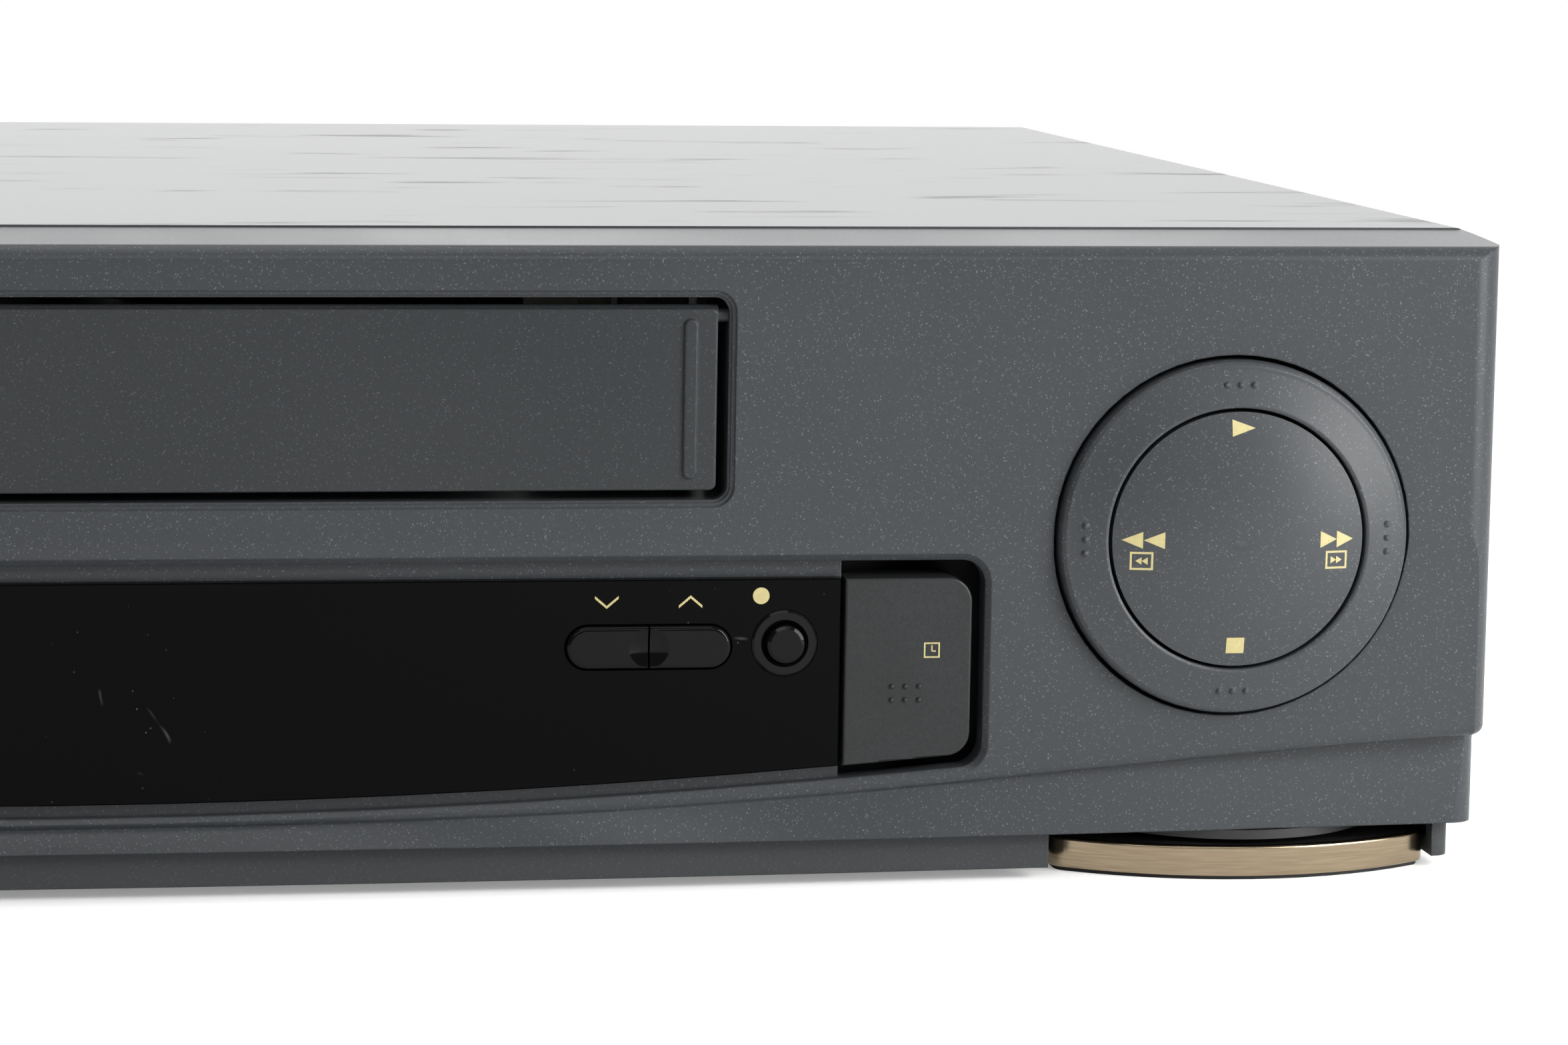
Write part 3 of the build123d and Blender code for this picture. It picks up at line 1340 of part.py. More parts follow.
def guide(side):
    """A tape guide: a sliding foot keyed in its slot, a roller post and a slanted post."""
    start, end, angle = guide_line(side)
    z = (deck_top + 0.3, deck_top + 4.5)
    foot = from_above(Pos(*start) * Rot(0, 0, angle) * SlotOverall(22, 12), z)
    foot += disc(*start, (deck_z + 0.2, z[1]), guide_slot / 2 - 0.3)
    post = [(0, z[0]), (guide_post_r, z[0]), (guide_post_r, z[1] + 1.5), (guide_roller_r + 0.8, z[1] + 1.5)]
    post += [(guide_roller_r + 0.8, z[1] + 2.5), (guide_roller_r, z[1] + 2.8)]
    post += [(guide_roller_r, guide_top_z - 4), (guide_roller_r + 0.8, guide_top_z - 3.7)]
    post += [(guide_roller_r + 0.8, guide_top_z - 2.4), (guide_post_r, guide_top_z - 2.4)]
    post += [(guide_post_r, guide_top_z), (0, guide_top_z)]
    foot += spun(post, *start)
    heading = math.radians(angle)
    x = start[0] - 7.5 * math.cos(heading)
    d = start[1] - 7.5 * math.sin(heading)
    slanted = Pos(x, front_y + d, z[1] - 1) * Rot(-9, side * 6, 0) * Pos(0, 0, 11) * Cylinder(1.5, 22)
    return foot + slanted


def loading_gear():
    z = loading_gear_z
    at = loading_gear_at
    shape = from_above(Pos(*at) * gear(gear_module, loading_teeth, gear_backlash), z)
    shape += disc(*at, (z[0], deck_z - 0.4), 6.0)
    for step in range(6):
        x = at[0] + 14.5 * math.cos(math.radians(60 * step))
        d = at[1] + 14.5 * math.sin(math.radians(60 * step))
        shape -= disc(x, d, (z[0] - 1, z[1] + 1), 4.2)
    return shape - disc(*at, (z[0] - 1, deck_z + 1), loading_pin_r + fit_gap)


def motor_pinion():
    at = pinion_at()
    gap_down = 180 / pinion_teeth
    outline = Pos(*at) * Rot(0, 0, gap_down) * gear(gear_module, pinion_teeth, gear_backlash)
    return from_above(outline, loading_gear_z) + disc(*at, (loading_gear_z[0], deck_top + 6), 1.0)


def loading_motor():
    at = pinion_at()
    can = disc(*at, (deck_top, deck_top + 23), 9.5)
    ends = can.edges().group_by(Axis.Z)
    can = fillet(ends[-1], 1.2)
    can += disc(*at, (deck_top + 22, deck_top + 24.5), 3.0)
    can += bar((at[0] - 14, at[1]), (at[0] + 14, at[1]), 8.0, (deck_top, deck_top + 1.0))
    return can - disc(*at, (deck_top - 1, deck_top + 12), 1.0 + fit_gap)


def tape_posts():
    posts = []
    for x, d in tape_posts_at:
        outline = [(0, deck_top), (4.0, deck_top), (4.0, deck_top + 2.5), (2.0, deck_top + 3.5)]
        outline += [(2.0, 37), (3.2, 37), (3.2, 38), (2.0, 38.3), (2.0, 54.7), (3.2, 55)]
        outline += [(3.2, 56), (2.0, 56), (2.0, 57.5), (0, 57.5)]
        posts.append(spun(outline, x, d))
    return Compound(children=posts)


def tape_heads():
    """The erase head on the left of the tape's path and the sound head on the right."""
    heads = []
    for (x, d), width in ((erase_head_at, 9), (sound_head_at, 10)):
        head = box((x - width / 2, x + width / 2), (d - 4, d + 4), (34, 55))
        nose = head.edges().filter_by(Axis.Z).group_by(Axis.Y)[-1]
        head = fillet(nose, 2.5)
        head += box((x - 7, x + 7), (d - 5.5, d + 4), (32.8, 34.2))
        head += disc(x, d - 1, (deck_top, 33), 3.0)
        heads.append(head)
    return Compound(children=heads)


# ---- Cassette loader ----
def pin_places():
    return [holder_front + offset for offset in holder_pins]


def loader_plates():
    """Two side plates with the holder's L-shaped path, and the two strips that join them."""
    plan = Pos(mid((loader_front, loader_back)), mid((deck_top, loader_top)))
    outline = plan * Rectangle(loader_back - loader_front, loader_top - deck_top)
    outline = fillet(outline.vertices(), 4.0)
    width = 2 * (holder_pin_r + pin_slot_gap)
    pin_z = holder_high + holder_pin_z
    first, last = pin_places()
    front = first - loader_travel
    across = Pos(mid((front, last)), pin_z) * SlotOverall(last - front + width, width)
    outline -= across
    for d in (first, last):
        drop = holder_drop + width
        outline -= Pos(d, pin_z - holder_drop / 2) * SlotOverall(drop, width, 90)
    outline -= Pos(loader_shaft_depth, shaft_z) * Circle(loader_shaft_r + fit_gap)
    outline -= Pos(mid((front, first)) - 4, 48) * RectangleRounded(46, 18, 4)
    plates = both_sides(from_side(outline, (plate_inner, plate_inner + loader_plate)))
    for d in ((66, 86), (136, 156)):
        plates += both_sides(box((86, plate_inner + 0.5), d, (deck_top, deck_top + 1.2)))
    for d in ((loader_front + 6, loader_front + 22), (128, loader_back - 6)):
        strip = box((-plate_inner - 0.5, plate_inner + 0.5), d, (loader_top - 1.2, loader_top))
        lips = both_sides(box((plate_inner - 1.2, plate_inner + 0.2), d, (loader_top - 5, loader_top)))
        plates += strip + lips
    return plates


def loader_sliders():
    """Two sliding plates that carry the holder's pins along, each with a rack on top."""
    body = holder_length / 2 + holder_front
    outline = Pos(body, mid((45, rack_line - 3))) * Rectangle(holder_length, rack_line - 3 - 45)
    outline = fillet(outline.vertices(), 2.0)
    start = loader_shaft_depth - 4 * math.pi * rack_module
    teeth = rack(rack_module, rack_length, gear_backlash, 4.0)
    outline += Pos(start, rack_line) * teeth
    width = 2 * (holder_pin_r + pin_slot_gap)
    pin_z = holder_high + holder_pin_z
    for d in pin_places():
        outline -= Pos(d, pin_z - holder_drop / 2) * SlotOverall(holder_drop + width, width, 90)
    outline -= Pos(body, 66) * RectangleRounded(12, 26, 3)
    return both_sides(from_side(outline, (slider_inner, slider_outer)))


def loader_shaft():
    """The cross-shaft whose two pinions keep both sliders level."""
    shaft = rod_across((-slider_outer, slider_outer), loader_shaft_depth, shaft_z, loader_shaft_r)
    pinion = gear(rack_module, loader_pinion_teeth, gear_backlash)
    outline = Pos(loader_shaft_depth, shaft_z) * Rot(0, 0, -90) * pinion
    return shaft + both_sides(from_side(outline, (slider_inner, slider_outer)))


def cassette_holder():
    """A sheet-metal basket, open in front, that carries the cassette on two ledges."""
    d = (holder_front, holder_front + holder_length)
    floor = (holder_high, holder_high + holder_sheet)
    top = floor[1] + cassette_height + cassette_gap
    roof = (top, top + holder_sheet)
    outer = holder_half + holder_sheet
    holder = both_sides(box((holder_half - holder_ledge, outer), d, floor))
    holder += both_sides(box((holder_half, outer), d, (floor[0], roof[1])))
    holder += box((-outer, outer), d, roof)
    stop = (d[1] - holder_sheet, d[1])
    holder += both_sides(box((holder_half - holder_ledge, outer), stop, (floor[0], floor[1] + 15)))
    for x in (-52, 52):
        opening = Pos(x, mid(d)) * RectangleRounded(56, 26, 4)
        holder -= from_above(opening, (roof[0] - 1, roof[1] + 1))
    for pin_d in pin_places():
        pins = (holder_half, slider_outer - 0.1)
        holder += both_sides(rod_across(pins, pin_d, holder_high + holder_pin_z, holder_pin_r))
    return holder


# ---- Export ----
parts = {
    "front_bezel": front_bezel(),
    "cassette_flap": cassette_flap(),
    "flap_spring": flap_spring(),
    "display_window": display_window(),
    "display_module": display_module(),
    "channel_down_button": rocker_half(-1),
    "channel_up_button": rocker_half(1),
    "rec_button": rec_button(),
    "rec_light_ring": rec_light_ring(),
    "timer_rec_key": end_key(),
    "standby_key": mirror(end_key(), Plane.YZ),
    "eject_button": eject_button(),
    "control_ring": control_ring(),
    "control_gimbal": control_gimbal(),
    "control_dome": control_dome(),
    "control_bracket": control_bracket(),
    "front_board": front_board(),
    "front_switches": front_switches(),
    "base_tray": base_tray(),
    "front_feet": front_feet(),
    "foot_bands": foot_bands(),
    "foot_pads": foot_pads(),
    "rear_feet": rear_feet(),
    "top_cover": top_cover(),
    "rear_panel": rear_panel(),
    "cover_screws": cover_screws(),
    "scart_sockets": scart_sockets(),
    "phono_sockets": phono_sockets(),
    "aerial_sockets": aerial_sockets(),
    "mains_inlet": mains_inlet(),
    "main_board": main_board(),
    "tuner_box": tuner_box(),
    "power_board": power_board(),
    "transformer": transformer(),
    "deck_plate": deck_plate(),
    "deck_screws": deck_screws(),
    "lower_drum": lower_drum(),
    "upper_drum": upper_drum(),
    "capstan_housing": capstan_housing(),
    "capstan": capstan(),
    "pinch_arm": pinch_arm(),
    "pinch_roller": pinch_roller(),
    "supply_reel": reel(-1),
    "takeup_reel": reel(1),
    "idler_arm": idler_arm(),
    "idler_wheel": idler_wheel(),
    "clutch_pulley": clutch_pulley(),
    "drive_belt": drive_belt(),
    "guide_left": guide(-1),
    "guide_right": guide(1),
    "loading_gear": loading_gear(),
    "motor_pinion": motor_pinion(),
    "loading_motor": loading_motor(),
    "tape_posts": tape_posts(),
    "tape_heads": tape_heads(),
    "loader_plates": loader_plates(),
    "loader_sliders": loader_sliders(),
    "loader_shaft": loader_shaft(),
    "cassette_holder": cassette_holder(),
}

os.makedirs("parts", exist_ok=True)
for name, shape in parts.items():
    export_step(shape, f"parts/{name}.step")
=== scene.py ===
import math

import bmesh
import bpy
from mathutils import Matrix, Vector


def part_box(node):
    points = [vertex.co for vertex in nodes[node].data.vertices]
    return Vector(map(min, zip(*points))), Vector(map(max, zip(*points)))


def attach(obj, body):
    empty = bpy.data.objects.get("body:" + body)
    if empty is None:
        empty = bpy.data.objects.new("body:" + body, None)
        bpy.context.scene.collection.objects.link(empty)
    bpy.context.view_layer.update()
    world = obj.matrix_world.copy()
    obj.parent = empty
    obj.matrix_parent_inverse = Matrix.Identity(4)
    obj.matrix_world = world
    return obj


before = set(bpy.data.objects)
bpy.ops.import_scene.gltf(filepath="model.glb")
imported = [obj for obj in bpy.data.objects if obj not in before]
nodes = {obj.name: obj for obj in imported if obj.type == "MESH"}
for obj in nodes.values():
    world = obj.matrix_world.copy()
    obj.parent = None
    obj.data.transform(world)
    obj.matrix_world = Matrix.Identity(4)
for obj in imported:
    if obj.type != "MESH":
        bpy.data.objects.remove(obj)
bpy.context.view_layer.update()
mm = 0.001
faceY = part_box("front_bezel")[0].y + 2.2 * mm  # the flat face of the front
print("frame loaded:", len(nodes), "nodes")


# small helpers
def linear(hexColour):
    # sRGB hex to the linear colour that a shader takes
    channels = [int(hexColour[i:i + 2], 16) / 255 for i in (1, 3, 5)]
    return [c / 12.92 if c <= 0.04045 else ((c + 0.055) / 1.055) ** 2.4 for c in channels] + [1.0]


def addNode(tree, kind, settings=None, links=None):
    # settings name either a property of the node or one of its inputs
    node = tree.nodes.new("ShaderNode" + kind)
    for key, value in (settings or {}).items():
        if isinstance(key, str) and key in node.bl_rna.properties:
            setattr(node, key, value)
        else:
            node.inputs[key].default_value = value
    for key, source in (links or {}).items():
        tree.links.new(source, node.inputs[key])
    return node


def startMaterial(name, **settings):
    # a material with its shader set, and the place on the object in metres
    material = bpy.data.materials.new(name)
    material.use_nodes = True
    tree = material.node_tree
    tree.nodes.clear()
    shader = addNode(tree, "BsdfPrincipled")
    for key, value in settings.items():
        words = {"ior": "IOR", "specular": "Specular IOR Level"}
        shader.inputs[words.get(key, key.capitalize())].default_value = value
    addNode(tree, "OutputMaterial", links={"Surface": shader.outputs[0]})
    place = addNode(tree, "TexCoord").outputs["Object"]
    return material, tree, shader, place


def paint(material, *names):
    for name in names:
        slots = nodes[name].data.materials
        slots.clear()
        slots.append(material)


# materials
charcoal = {
    "colour": "#3b3e40",
    "shade": "#333538",
    "fleck": "#777b80",
    "flakeShare": 0.06,
    "grainMm": 0.14,  # the real flakes are near 0.05 mm; drawn coarser so that they show
    "patchMm": 70,
    "roughness": 0.34,
    "specular": 0.2,  # below the usual 0.5, set to the depth of the charcoal
    "bumpMm": 0.008,
    "fleckStrength": 0.5,
    "grainStrength": 0.3,
    "glossRange": (-0.04, 0.05),  # how far the roughness wanders from patch to patch
    "edgeMm": 0.35,  # the soft edge that every moulding has
}


def flakedPlastic(name, look):
    # injection-moulded ABS with fine aluminium flakes: a soft sheen and a fine sparkle
    material, tree, shader, place = startMaterial(name, ior=1.53, specular=look["specular"])
    grainScale = 1000 / look["grainMm"]
    grain = addNode(tree, "TexNoise", {"Scale": grainScale, "Detail": 2.0}, {"Vector": place})
    cells = addNode(tree, "TexVoronoi", {"Scale": grainScale * 0.8}, {"Vector": place})
    oneCell = addNode(tree, "SeparateColor", links={"Color": cells.outputs["Color"]})
    sparkle = addNode(tree, "MapRange",
                      {"From Min": 1 - look["flakeShare"], "From Max": 1.0, "To Max": look["fleckStrength"]},
                      {"Value": oneCell.outputs[0]})
    patches = addNode(tree, "TexNoise", {"Scale": 1000 / look["patchMm"], "Detail": 3.0}, {"Vector": place})
    tone = addNode(tree, "Mix", {"data_type": "RGBA", 6: linear(look["shade"]), 7: linear(look["colour"])},
                   {0: patches.outputs[0]})
    grainTone = addNode(tree, "Mix", {"data_type": "RGBA", "blend_type": "OVERLAY", 0: look["grainStrength"]},
                        {6: tone.outputs[2], 7: grain.outputs[0]})
    flecked = addNode(tree, "Mix", {"data_type": "RGBA", 7: linear(look["fleck"])},
                      {0: sparkle.outputs[0], 6: grainTone.outputs[2]})
    smooth, dull = (look["roughness"] + step for step in look["glossRange"])
    gloss = addNode(tree, "MapRange", {"From Min": 0.3, "From Max": 0.7, "To Min": smooth, "To Max": dull},
                    {"Value": patches.outputs[0]})
    bump = addNode(tree, "Bump", {"Strength": 0.5, "Distance": look["bumpMm"] * mm},
                   {"Height": grain.outputs[0]})
    if look["edgeMm"]:
        softEdge = addNode(tree, "Bevel", {"samples": 4, "Radius": look["edgeMm"] * mm})
        tree.links.new(softEdge.outputs[0], bump.inputs["Normal"])
    tree.links.new(flecked.outputs[2], shader.inputs["Base Color"])
    tree.links.new(gloss.outputs[0], shader.inputs["Roughness"])
    tree.links.new(bump.outputs[0], shader.inputs["Normal"])
    return material


paint(flakedPlastic("flakedCharcoalAbs", charcoal), "front_bezel")
controlLook = dict(charcoal, specular=0.25)  # a little glossier than the front
paint(flakedPlastic("ringAbs", controlLook), "control_ring")
paint(flakedPlastic("domeAbs", dict(controlLook, edgeMm=0)), "control_dome")
flapLook = dict(charcoal, colour="#313335", shade="#292c2e", fleck="#5e6064")
paint(flakedPlastic("flapAbs", flapLook), "cassette_flap")
baseLook = dict(charcoal, colour="#383b3c", shade="#303133", fleck="#535557", roughness=0.48)
paint(flakedPlastic("baseAbs", baseLook), "base_tray")

cover = {
    "colour": "#424446",
    "shade": "#393b3d",
    "speck": "#77797b",
    "rubbed": "#4e5052",
    "textureMm": 0.45,  # the paint's orange peel
    "scuffMm": 45,
    "scuffFrom": (0.6, 0.74),  # the share of the noise that shows as rubbed
    "roughness": 0.38,
    "rubbedDull": 0.16,  # rubbed paint is this much rougher
}


def texturedPaint(name, look):
    # baked epoxy powder on sheet steel: a fine dry texture with a few rubbed marks
    material, tree, shader, place = startMaterial(name, ior=1.5)
    texture = addNode(tree, "TexNoise", {"Scale": 1000 / look["textureMm"], "Detail": 3.0}, {"Vector": place})
    wide = addNode(tree, "TexNoise", {"Scale": 14.0, "Detail": 4.0}, {"Vector": place})
    stretched = addNode(tree, "Mapping", {"Scale": (1.0, 6.0, 1.0), "Rotation": (0, 0, 0.35)},
                        {"Vector": place})
    rubbed = addNode(tree, "TexNoise", {"Scale": 1000 / look["scuffMm"], "Detail": 6.0, "Distortion": 0.4},
                     {"Vector": stretched.outputs[0]})
    faint, full = look["scuffFrom"]
    scuff = addNode(tree, "MapRange", {"From Min": faint, "From Max": full}, {"Value": rubbed.outputs[0]})
    tone = addNode(tree, "Mix", {"data_type": "RGBA", 6: linear(look["shade"]), 7: linear(look["colour"])},
                   {0: wide.outputs[0]})
    grains = addNode(tree, "MapRange", {"From Min": 0.62, "From Max": 0.8, "To Max": 0.5},
                     {"Value": texture.outputs[0]})
    specked = addNode(tree, "Mix", {"data_type": "RGBA", 7: linear(look["speck"])},
                      {0: grains.outputs[0], 6: tone.outputs[2]})
    scuffed = addNode(tree, "Mix", {"data_type": "RGBA", 7: linear(look["rubbed"])},
                      {0: scuff.outputs[0], 6: specked.outputs[2]})
    dull = look["roughness"] + look["rubbedDull"]
    gloss = addNode(tree, "MapRange", {"To Min": look["roughness"], "To Max": dull},
                    {"Value": scuff.outputs[0]})
    bump = addNode(tree, "Bump", {"Strength": 0.6, "Distance": 0.03 * mm}, {"Height": texture.outputs[0]})
    tree.links.new(scuffed.outputs[2], shader.inputs["Base Color"])
    tree.links.new(gloss.outputs[0], shader.inputs["Roughness"])
    tree.links.new(bump.outputs[0], shader.inputs["Normal"])
    return material


paint(texturedPaint("coverPowderPaint", cover), "top_cover")
rearLook = dict(cover, colour="#323436", shade="#2c2d2f", rubbed="#3a3c3e")
paint(texturedPaint("rearPanelPaint", rearLook), "rear_panel")

window = {
    "colour": "#060606",
    "dust": "#8d8b87",
    "dustMm": 2.2,
    "scratchMm": 34,
    "marksShow": 0.32,  # dust and scratches are this strong against the sheet
    "roughness": 0.06,
    "specular": 0.04,  # far below the usual 0.5, set so that the pale floor leaves it black
}


def smokedAcrylic(name, look):
    # cast acrylic, smoked nearly black and polished: sharp reflections, dust and hairline scratches
    material, tree, shader, place = startMaterial(name, ior=1.49, specular=look["specular"])
    specks = addNode(tree, "TexVoronoi", {"Scale": 1000 / look["dustMm"]}, {"Vector": place})
    inSpeck = addNode(tree, "MapRange", {"From Min": 0.07, "From Max": 0.03},
                      {"Value": specks.outputs["Distance"]})
    where = addNode(tree, "TexNoise", {"Scale": 30.0, "Detail": 2.0}, {"Vector": place})
    often = addNode(tree, "MapRange", {"From Min": 0.48, "From Max": 0.6}, {"Value": where.outputs[0]})
    dust = addNode(tree, "Math", {"operation": "MULTIPLY"}, {0: inSpeck.outputs[0], 1: often.outputs[0]})
    bent = addNode(tree, "TexNoise", {"Scale": 1000 / look["scratchMm"], "Detail": 1.0}, {"Vector": place})
    hair = addNode(tree, "MapRange", {"From Min": 0.0, "From Max": 0.0035, "To Min": 1.0, "To Max": 0.0})
    offset = addNode(tree, "Math", {"operation": "SUBTRACT", 1: 0.56}, {0: bent.outputs[0]})
    away = addNode(tree, "Math", {"operation": "ABSOLUTE"}, {0: offset.outputs[0]})
    tree.links.new(away.outputs[0], hair.inputs["Value"])
    broken = addNode(tree, "TexNoise", {"Scale": 90.0, "Detail": 2.0}, {"Vector": place})
    parts = addNode(tree, "MapRange", {"From Min": 0.62, "From Max": 0.68}, {"Value": broken.outputs[0]})
    scratch = addNode(tree, "Math", {"operation": "MULTIPLY"}, {0: hair.outputs[0], 1: parts.outputs[0]})
    worn = addNode(tree, "Math", {"operation": "ADD", "use_clamp": True},
                   {0: dust.outputs[0], 1: scratch.outputs[0]})
    faint = addNode(tree, "Math", {"operation": "MULTIPLY", 1: look["marksShow"]}, {0: worn.outputs[0]})
    colour = addNode(tree, "Mix", {"data_type": "RGBA", 6: linear(look["colour"]), 7: linear(look["dust"])},
                     {0: faint.outputs[0]})
    haze = addNode(tree, "TexNoise", {"Scale": 22.0, "Detail": 3.0}, {"Vector": place})
    polished, hazy = look["roughness"] - 0.02, look["roughness"] + 0.07
    gloss = addNode(tree, "MapRange", {"To Min": polished, "To Max": hazy}, {"Value": haze.outputs[0]})
    rough = addNode(tree, "Math", {"operation": "MAXIMUM"}, {0: gloss.outputs[0], 1: faint.outputs[0]})
    tree.links.new(colour.outputs[2], shader.inputs["Base Color"])
    tree.links.new(rough.outputs[0], shader.inputs["Roughness"])
    return material


paint(smokedAcrylic("smokedAcrylic", window), "display_window")

plain = {
    "keyAbs": {"colour": "#2a2c2d", "shade": "#212222",
               "roughness": 0.3, "grainMm": 0.4, "bumpMm": 0.006,
               "specular": 0.22},
    "glossBlackAbs": {"colour": "#0a0a0b", "shade": "#070708",
                      "roughness": 0.09, "grainMm": 1.5, "bumpMm": 0.001,
                      "specular": 0.12},
    "smokedRing": {"colour": "#0d0b0b", "shade": "#090808",
                   "roughness": 0.12, "grainMm": 1.2, "bumpMm": 0.001,
                   "specular": 0.14},
    "blackAbs": {"colour": "#17181a", "shade": "#101112",
                 "roughness": 0.48, "grainMm": 0.5, "bumpMm": 0.02},
    "mouldedRubber": {"colour": "#161616", "shade": "#0f0f0f",
                      "roughness": 0.8, "grainMm": 0.6, "bumpMm": 0.04},
    "acetal": {"colour": "#dcd8c9", "shade": "#cfcab8",
               "roughness": 0.42, "grainMm": 2.0, "bumpMm": 0.004},
    "blackAcetal": {"colour": "#1b1b1c", "shade": "#141415",
                    "roughness": 0.38, "grainMm": 1.0, "bumpMm": 0.006},
    "socketPbt": {"colour": "#1a1a1b", "shade": "#121213",
                  "roughness": 0.5, "grainMm": 0.6, "bumpMm": 0.015},
    "paperLaminate": {"colour": "#8a6238", "shade": "#77522c",
                      "roughness": 0.55, "grainMm": 0.8, "bumpMm": 0.02},
    "lacqueredLaminate": {"colour": "#1d5a34", "shade": "#174a2b",
                          "roughness": 0.28, "grainMm": 1.4, "bumpMm": 0.01},
    # near-black solder mask on the front board, a real colour chosen this dark as painted shade so the gaps
    # round the keys and window read black
    "blackLaminateAsGapShade": {"colour": "#0d0e0e", "shade": "#080909",
                      "roughness": 0.6, "grainMm": 1.4, "bumpMm": 0.01},
    "coatedCoreSteel": {"colour": "#4a4743", "shade": "#3a3734",
                        "roughness": 0.5, "grainMm": 0.5, "bumpMm": 0.03},
    "displayTubeGlass": {"colour": "#12201f", "shade": "#0c1716",
                         "roughness": 0.06, "grainMm": 5.0, "bumpMm": 0.0},
}


def mouldedPlastic(name, look):
    # plain mouldings and boards: two close tones and the fine surface of the tool
    material, tree, shader, place = startMaterial(name, ior=1.5, specular=look.get("specular", 0.5))
    grain = addNode(tree, "TexNoise", {"Scale": 1000 / look["grainMm"], "Detail": 2.0}, {"Vector": place})
    patches = addNode(tree, "TexNoise", {"Scale": 40.0, "Detail": 3.0}, {"Vector": place})
    both = addNode(tree, "Math", {"operation": "MULTIPLY"}, {0: grain.outputs[0], 1: patches.outputs[0]})
    tone = addNode(tree, "MapRange", {"From Min": 0.1, "From Max": 0.4}, {"Value": both.outputs[0]})
    colour = addNode(tree, "Mix", {"data_type": "RGBA", 6: linear(look["shade"]), 7: linear(look["colour"])},
                     {0: tone.outputs[0]})
    gloss = addNode(tree, "MapRange", {"From Min": 0.3, "From Max": 0.7, "To Min": look["roughness"] * 0.85,
                                       "To Max": look["roughness"] * 1.2}, {"Value": patches.outputs[0]})
    bump = addNode(tree, "Bump", {"Strength": 0.5, "Distance": look["bumpMm"] * mm},
                   {"Height": grain.outputs[0]})
    tree.links.new(colour.outputs[2], shader.inputs["Base Color"])
    tree.links.new(gloss.outputs[0], shader.inputs["Roughness"])
    tree.links.new(bump.outputs[0], shader.inputs["Normal"])
    return material


plasticPieces = {
    "keyAbs": ("timer_rec_key", "standby_key", "eject_button"),
    "glossBlackAbs": ("channel_down_button", "channel_up_button", "rec_button"),
    "smokedRing": ("rec_light_ring",),
    "blackAbs": ("front_feet", "control_bracket", "front_switches"),
    "mouldedRubber": ("foot_pads", "rear_feet", "pinch_roller", "drive_belt"),
    "acetal": ("control_gimbal", "clutch_pulley", "loading_gear"),
    "blackAcetal": ("supply_reel", "takeup_reel", "idler_wheel"),
    "socketPbt": ("scart_sockets", "mains_inlet"),
    "paperLaminate": ("power_board",),
    "lacqueredLaminate": ("main_board",),
    # the board behind the keys: its near-black colour is painted shade for the gaps in front of it
    "blackLaminateAsGapShade": ("front_board",),
    "coatedCoreSteel": ("transformer",),
    "displayTubeGlass": ("display_module",),
}
for name, pieces in plasticPieces.items():
    paint(mouldedPlastic(name, plain[name]), *pieces)

metals = {
    "champagneAnodised": {"colour": "#a2937c", "shade": "#7c6d58",
                          "roughness": 0.2, "lineMm": 0.25, "along": 2},
    "zincPlatedSheet": {"colour": "#b9b9b2", "shade": "#9d9e98",
                        "roughness": 0.34, "lineMm": 0.5, "along": 0},
    "turnedAluminium": {"colour": "#d6d7d8", "shade": "#c2c3c5",
                        "roughness": 0.2, "lineMm": 0.3, "along": 2},
    "groundSteel": {"colour": "#c9c9c9", "shade": "#b2b2b3",
                    "roughness": 0.12, "lineMm": 0.3, "along": 2},
    "turnedBrass": {"colour": "#c8a25a", "shade": "#b08a45",
                    "roughness": 0.22, "lineMm": 0.3, "along": 2},
    "brightNickel": {"colour": "#c8c4bd", "shade": "#b3afa8",
                     "roughness": 0.12, "lineMm": 0.4, "along": 1},
    "tinPlate": {"colour": "#b4b6b6", "shade": "#9c9e9f", "roughness": 0.3, "lineMm": 0.8, "along": 2},
    "blackedSteel": {"colour": "#2c2c2d", "shade": "#202021",
                     "roughness": 0.3, "lineMm": 0.5, "along": 1},
}


def workedMetal(name, look):
    # metal with the fine lines that brushing, turning or rolling leaves across one axis
    material, tree, shader, place = startMaterial(name, metallic=1.0)
    stretch = [0.04, 0.04, 0.04]
    stretch[look["along"]] = 1.0
    across = addNode(tree, "Mapping", {"Scale": stretch}, {"Vector": place})
    lines = addNode(tree, "TexNoise", {"Scale": 1000 / look["lineMm"], "Detail": 2.0},
                    {"Vector": across.outputs[0]})
    clouds = addNode(tree, "TexNoise", {"Scale": 60.0, "Detail": 2.0}, {"Vector": place})
    colour = addNode(tree, "Mix", {"data_type": "RGBA", 6: linear(look["shade"]), 7: linear(look["colour"])},
                     {0: lines.outputs[0]})
    gloss = addNode(tree, "MapRange", {"From Min": 0.3, "From Max": 0.7, "To Min": look["roughness"] * 0.8,
                                       "To Max": look["roughness"] * 1.25}, {"Value": clouds.outputs[0]})
    bump = addNode(tree, "Bump", {"Strength": 0.25, "Distance": 0.005 * mm}, {"Height": lines.outputs[0]})
    tree.links.new(colour.outputs[2], shader.inputs["Base Color"])
    tree.links.new(gloss.outputs[0], shader.inputs["Roughness"])
    tree.links.new(bump.outputs[0], shader.inputs["Normal"])
    return material


metalPieces = {
    "champagneAnodised": ("foot_bands",),
    "zincPlatedSheet": ("deck_plate", "loader_plates", "cassette_holder", "pinch_arm", "idler_arm",
                        "deck_screws"),
    "turnedAluminium": ("lower_drum", "upper_drum"),
    "groundSteel": ("capstan", "guide_left", "guide_right", "tape_posts", "tape_heads", "loader_shaft",
                    "loader_sliders"),
    "turnedBrass": ("capstan_housing", "motor_pinion"),
    "brightNickel": ("phono_sockets", "aerial_sockets"),
    "tinPlate": ("tuner_box", "loading_motor"),
    "blackedSteel": ("cover_screws", "flap_spring"),
}
for name, pieces in metalPieces.items():
    paint(workedMetal(name, metals[name]), *pieces)
print("materials given to the nodes")

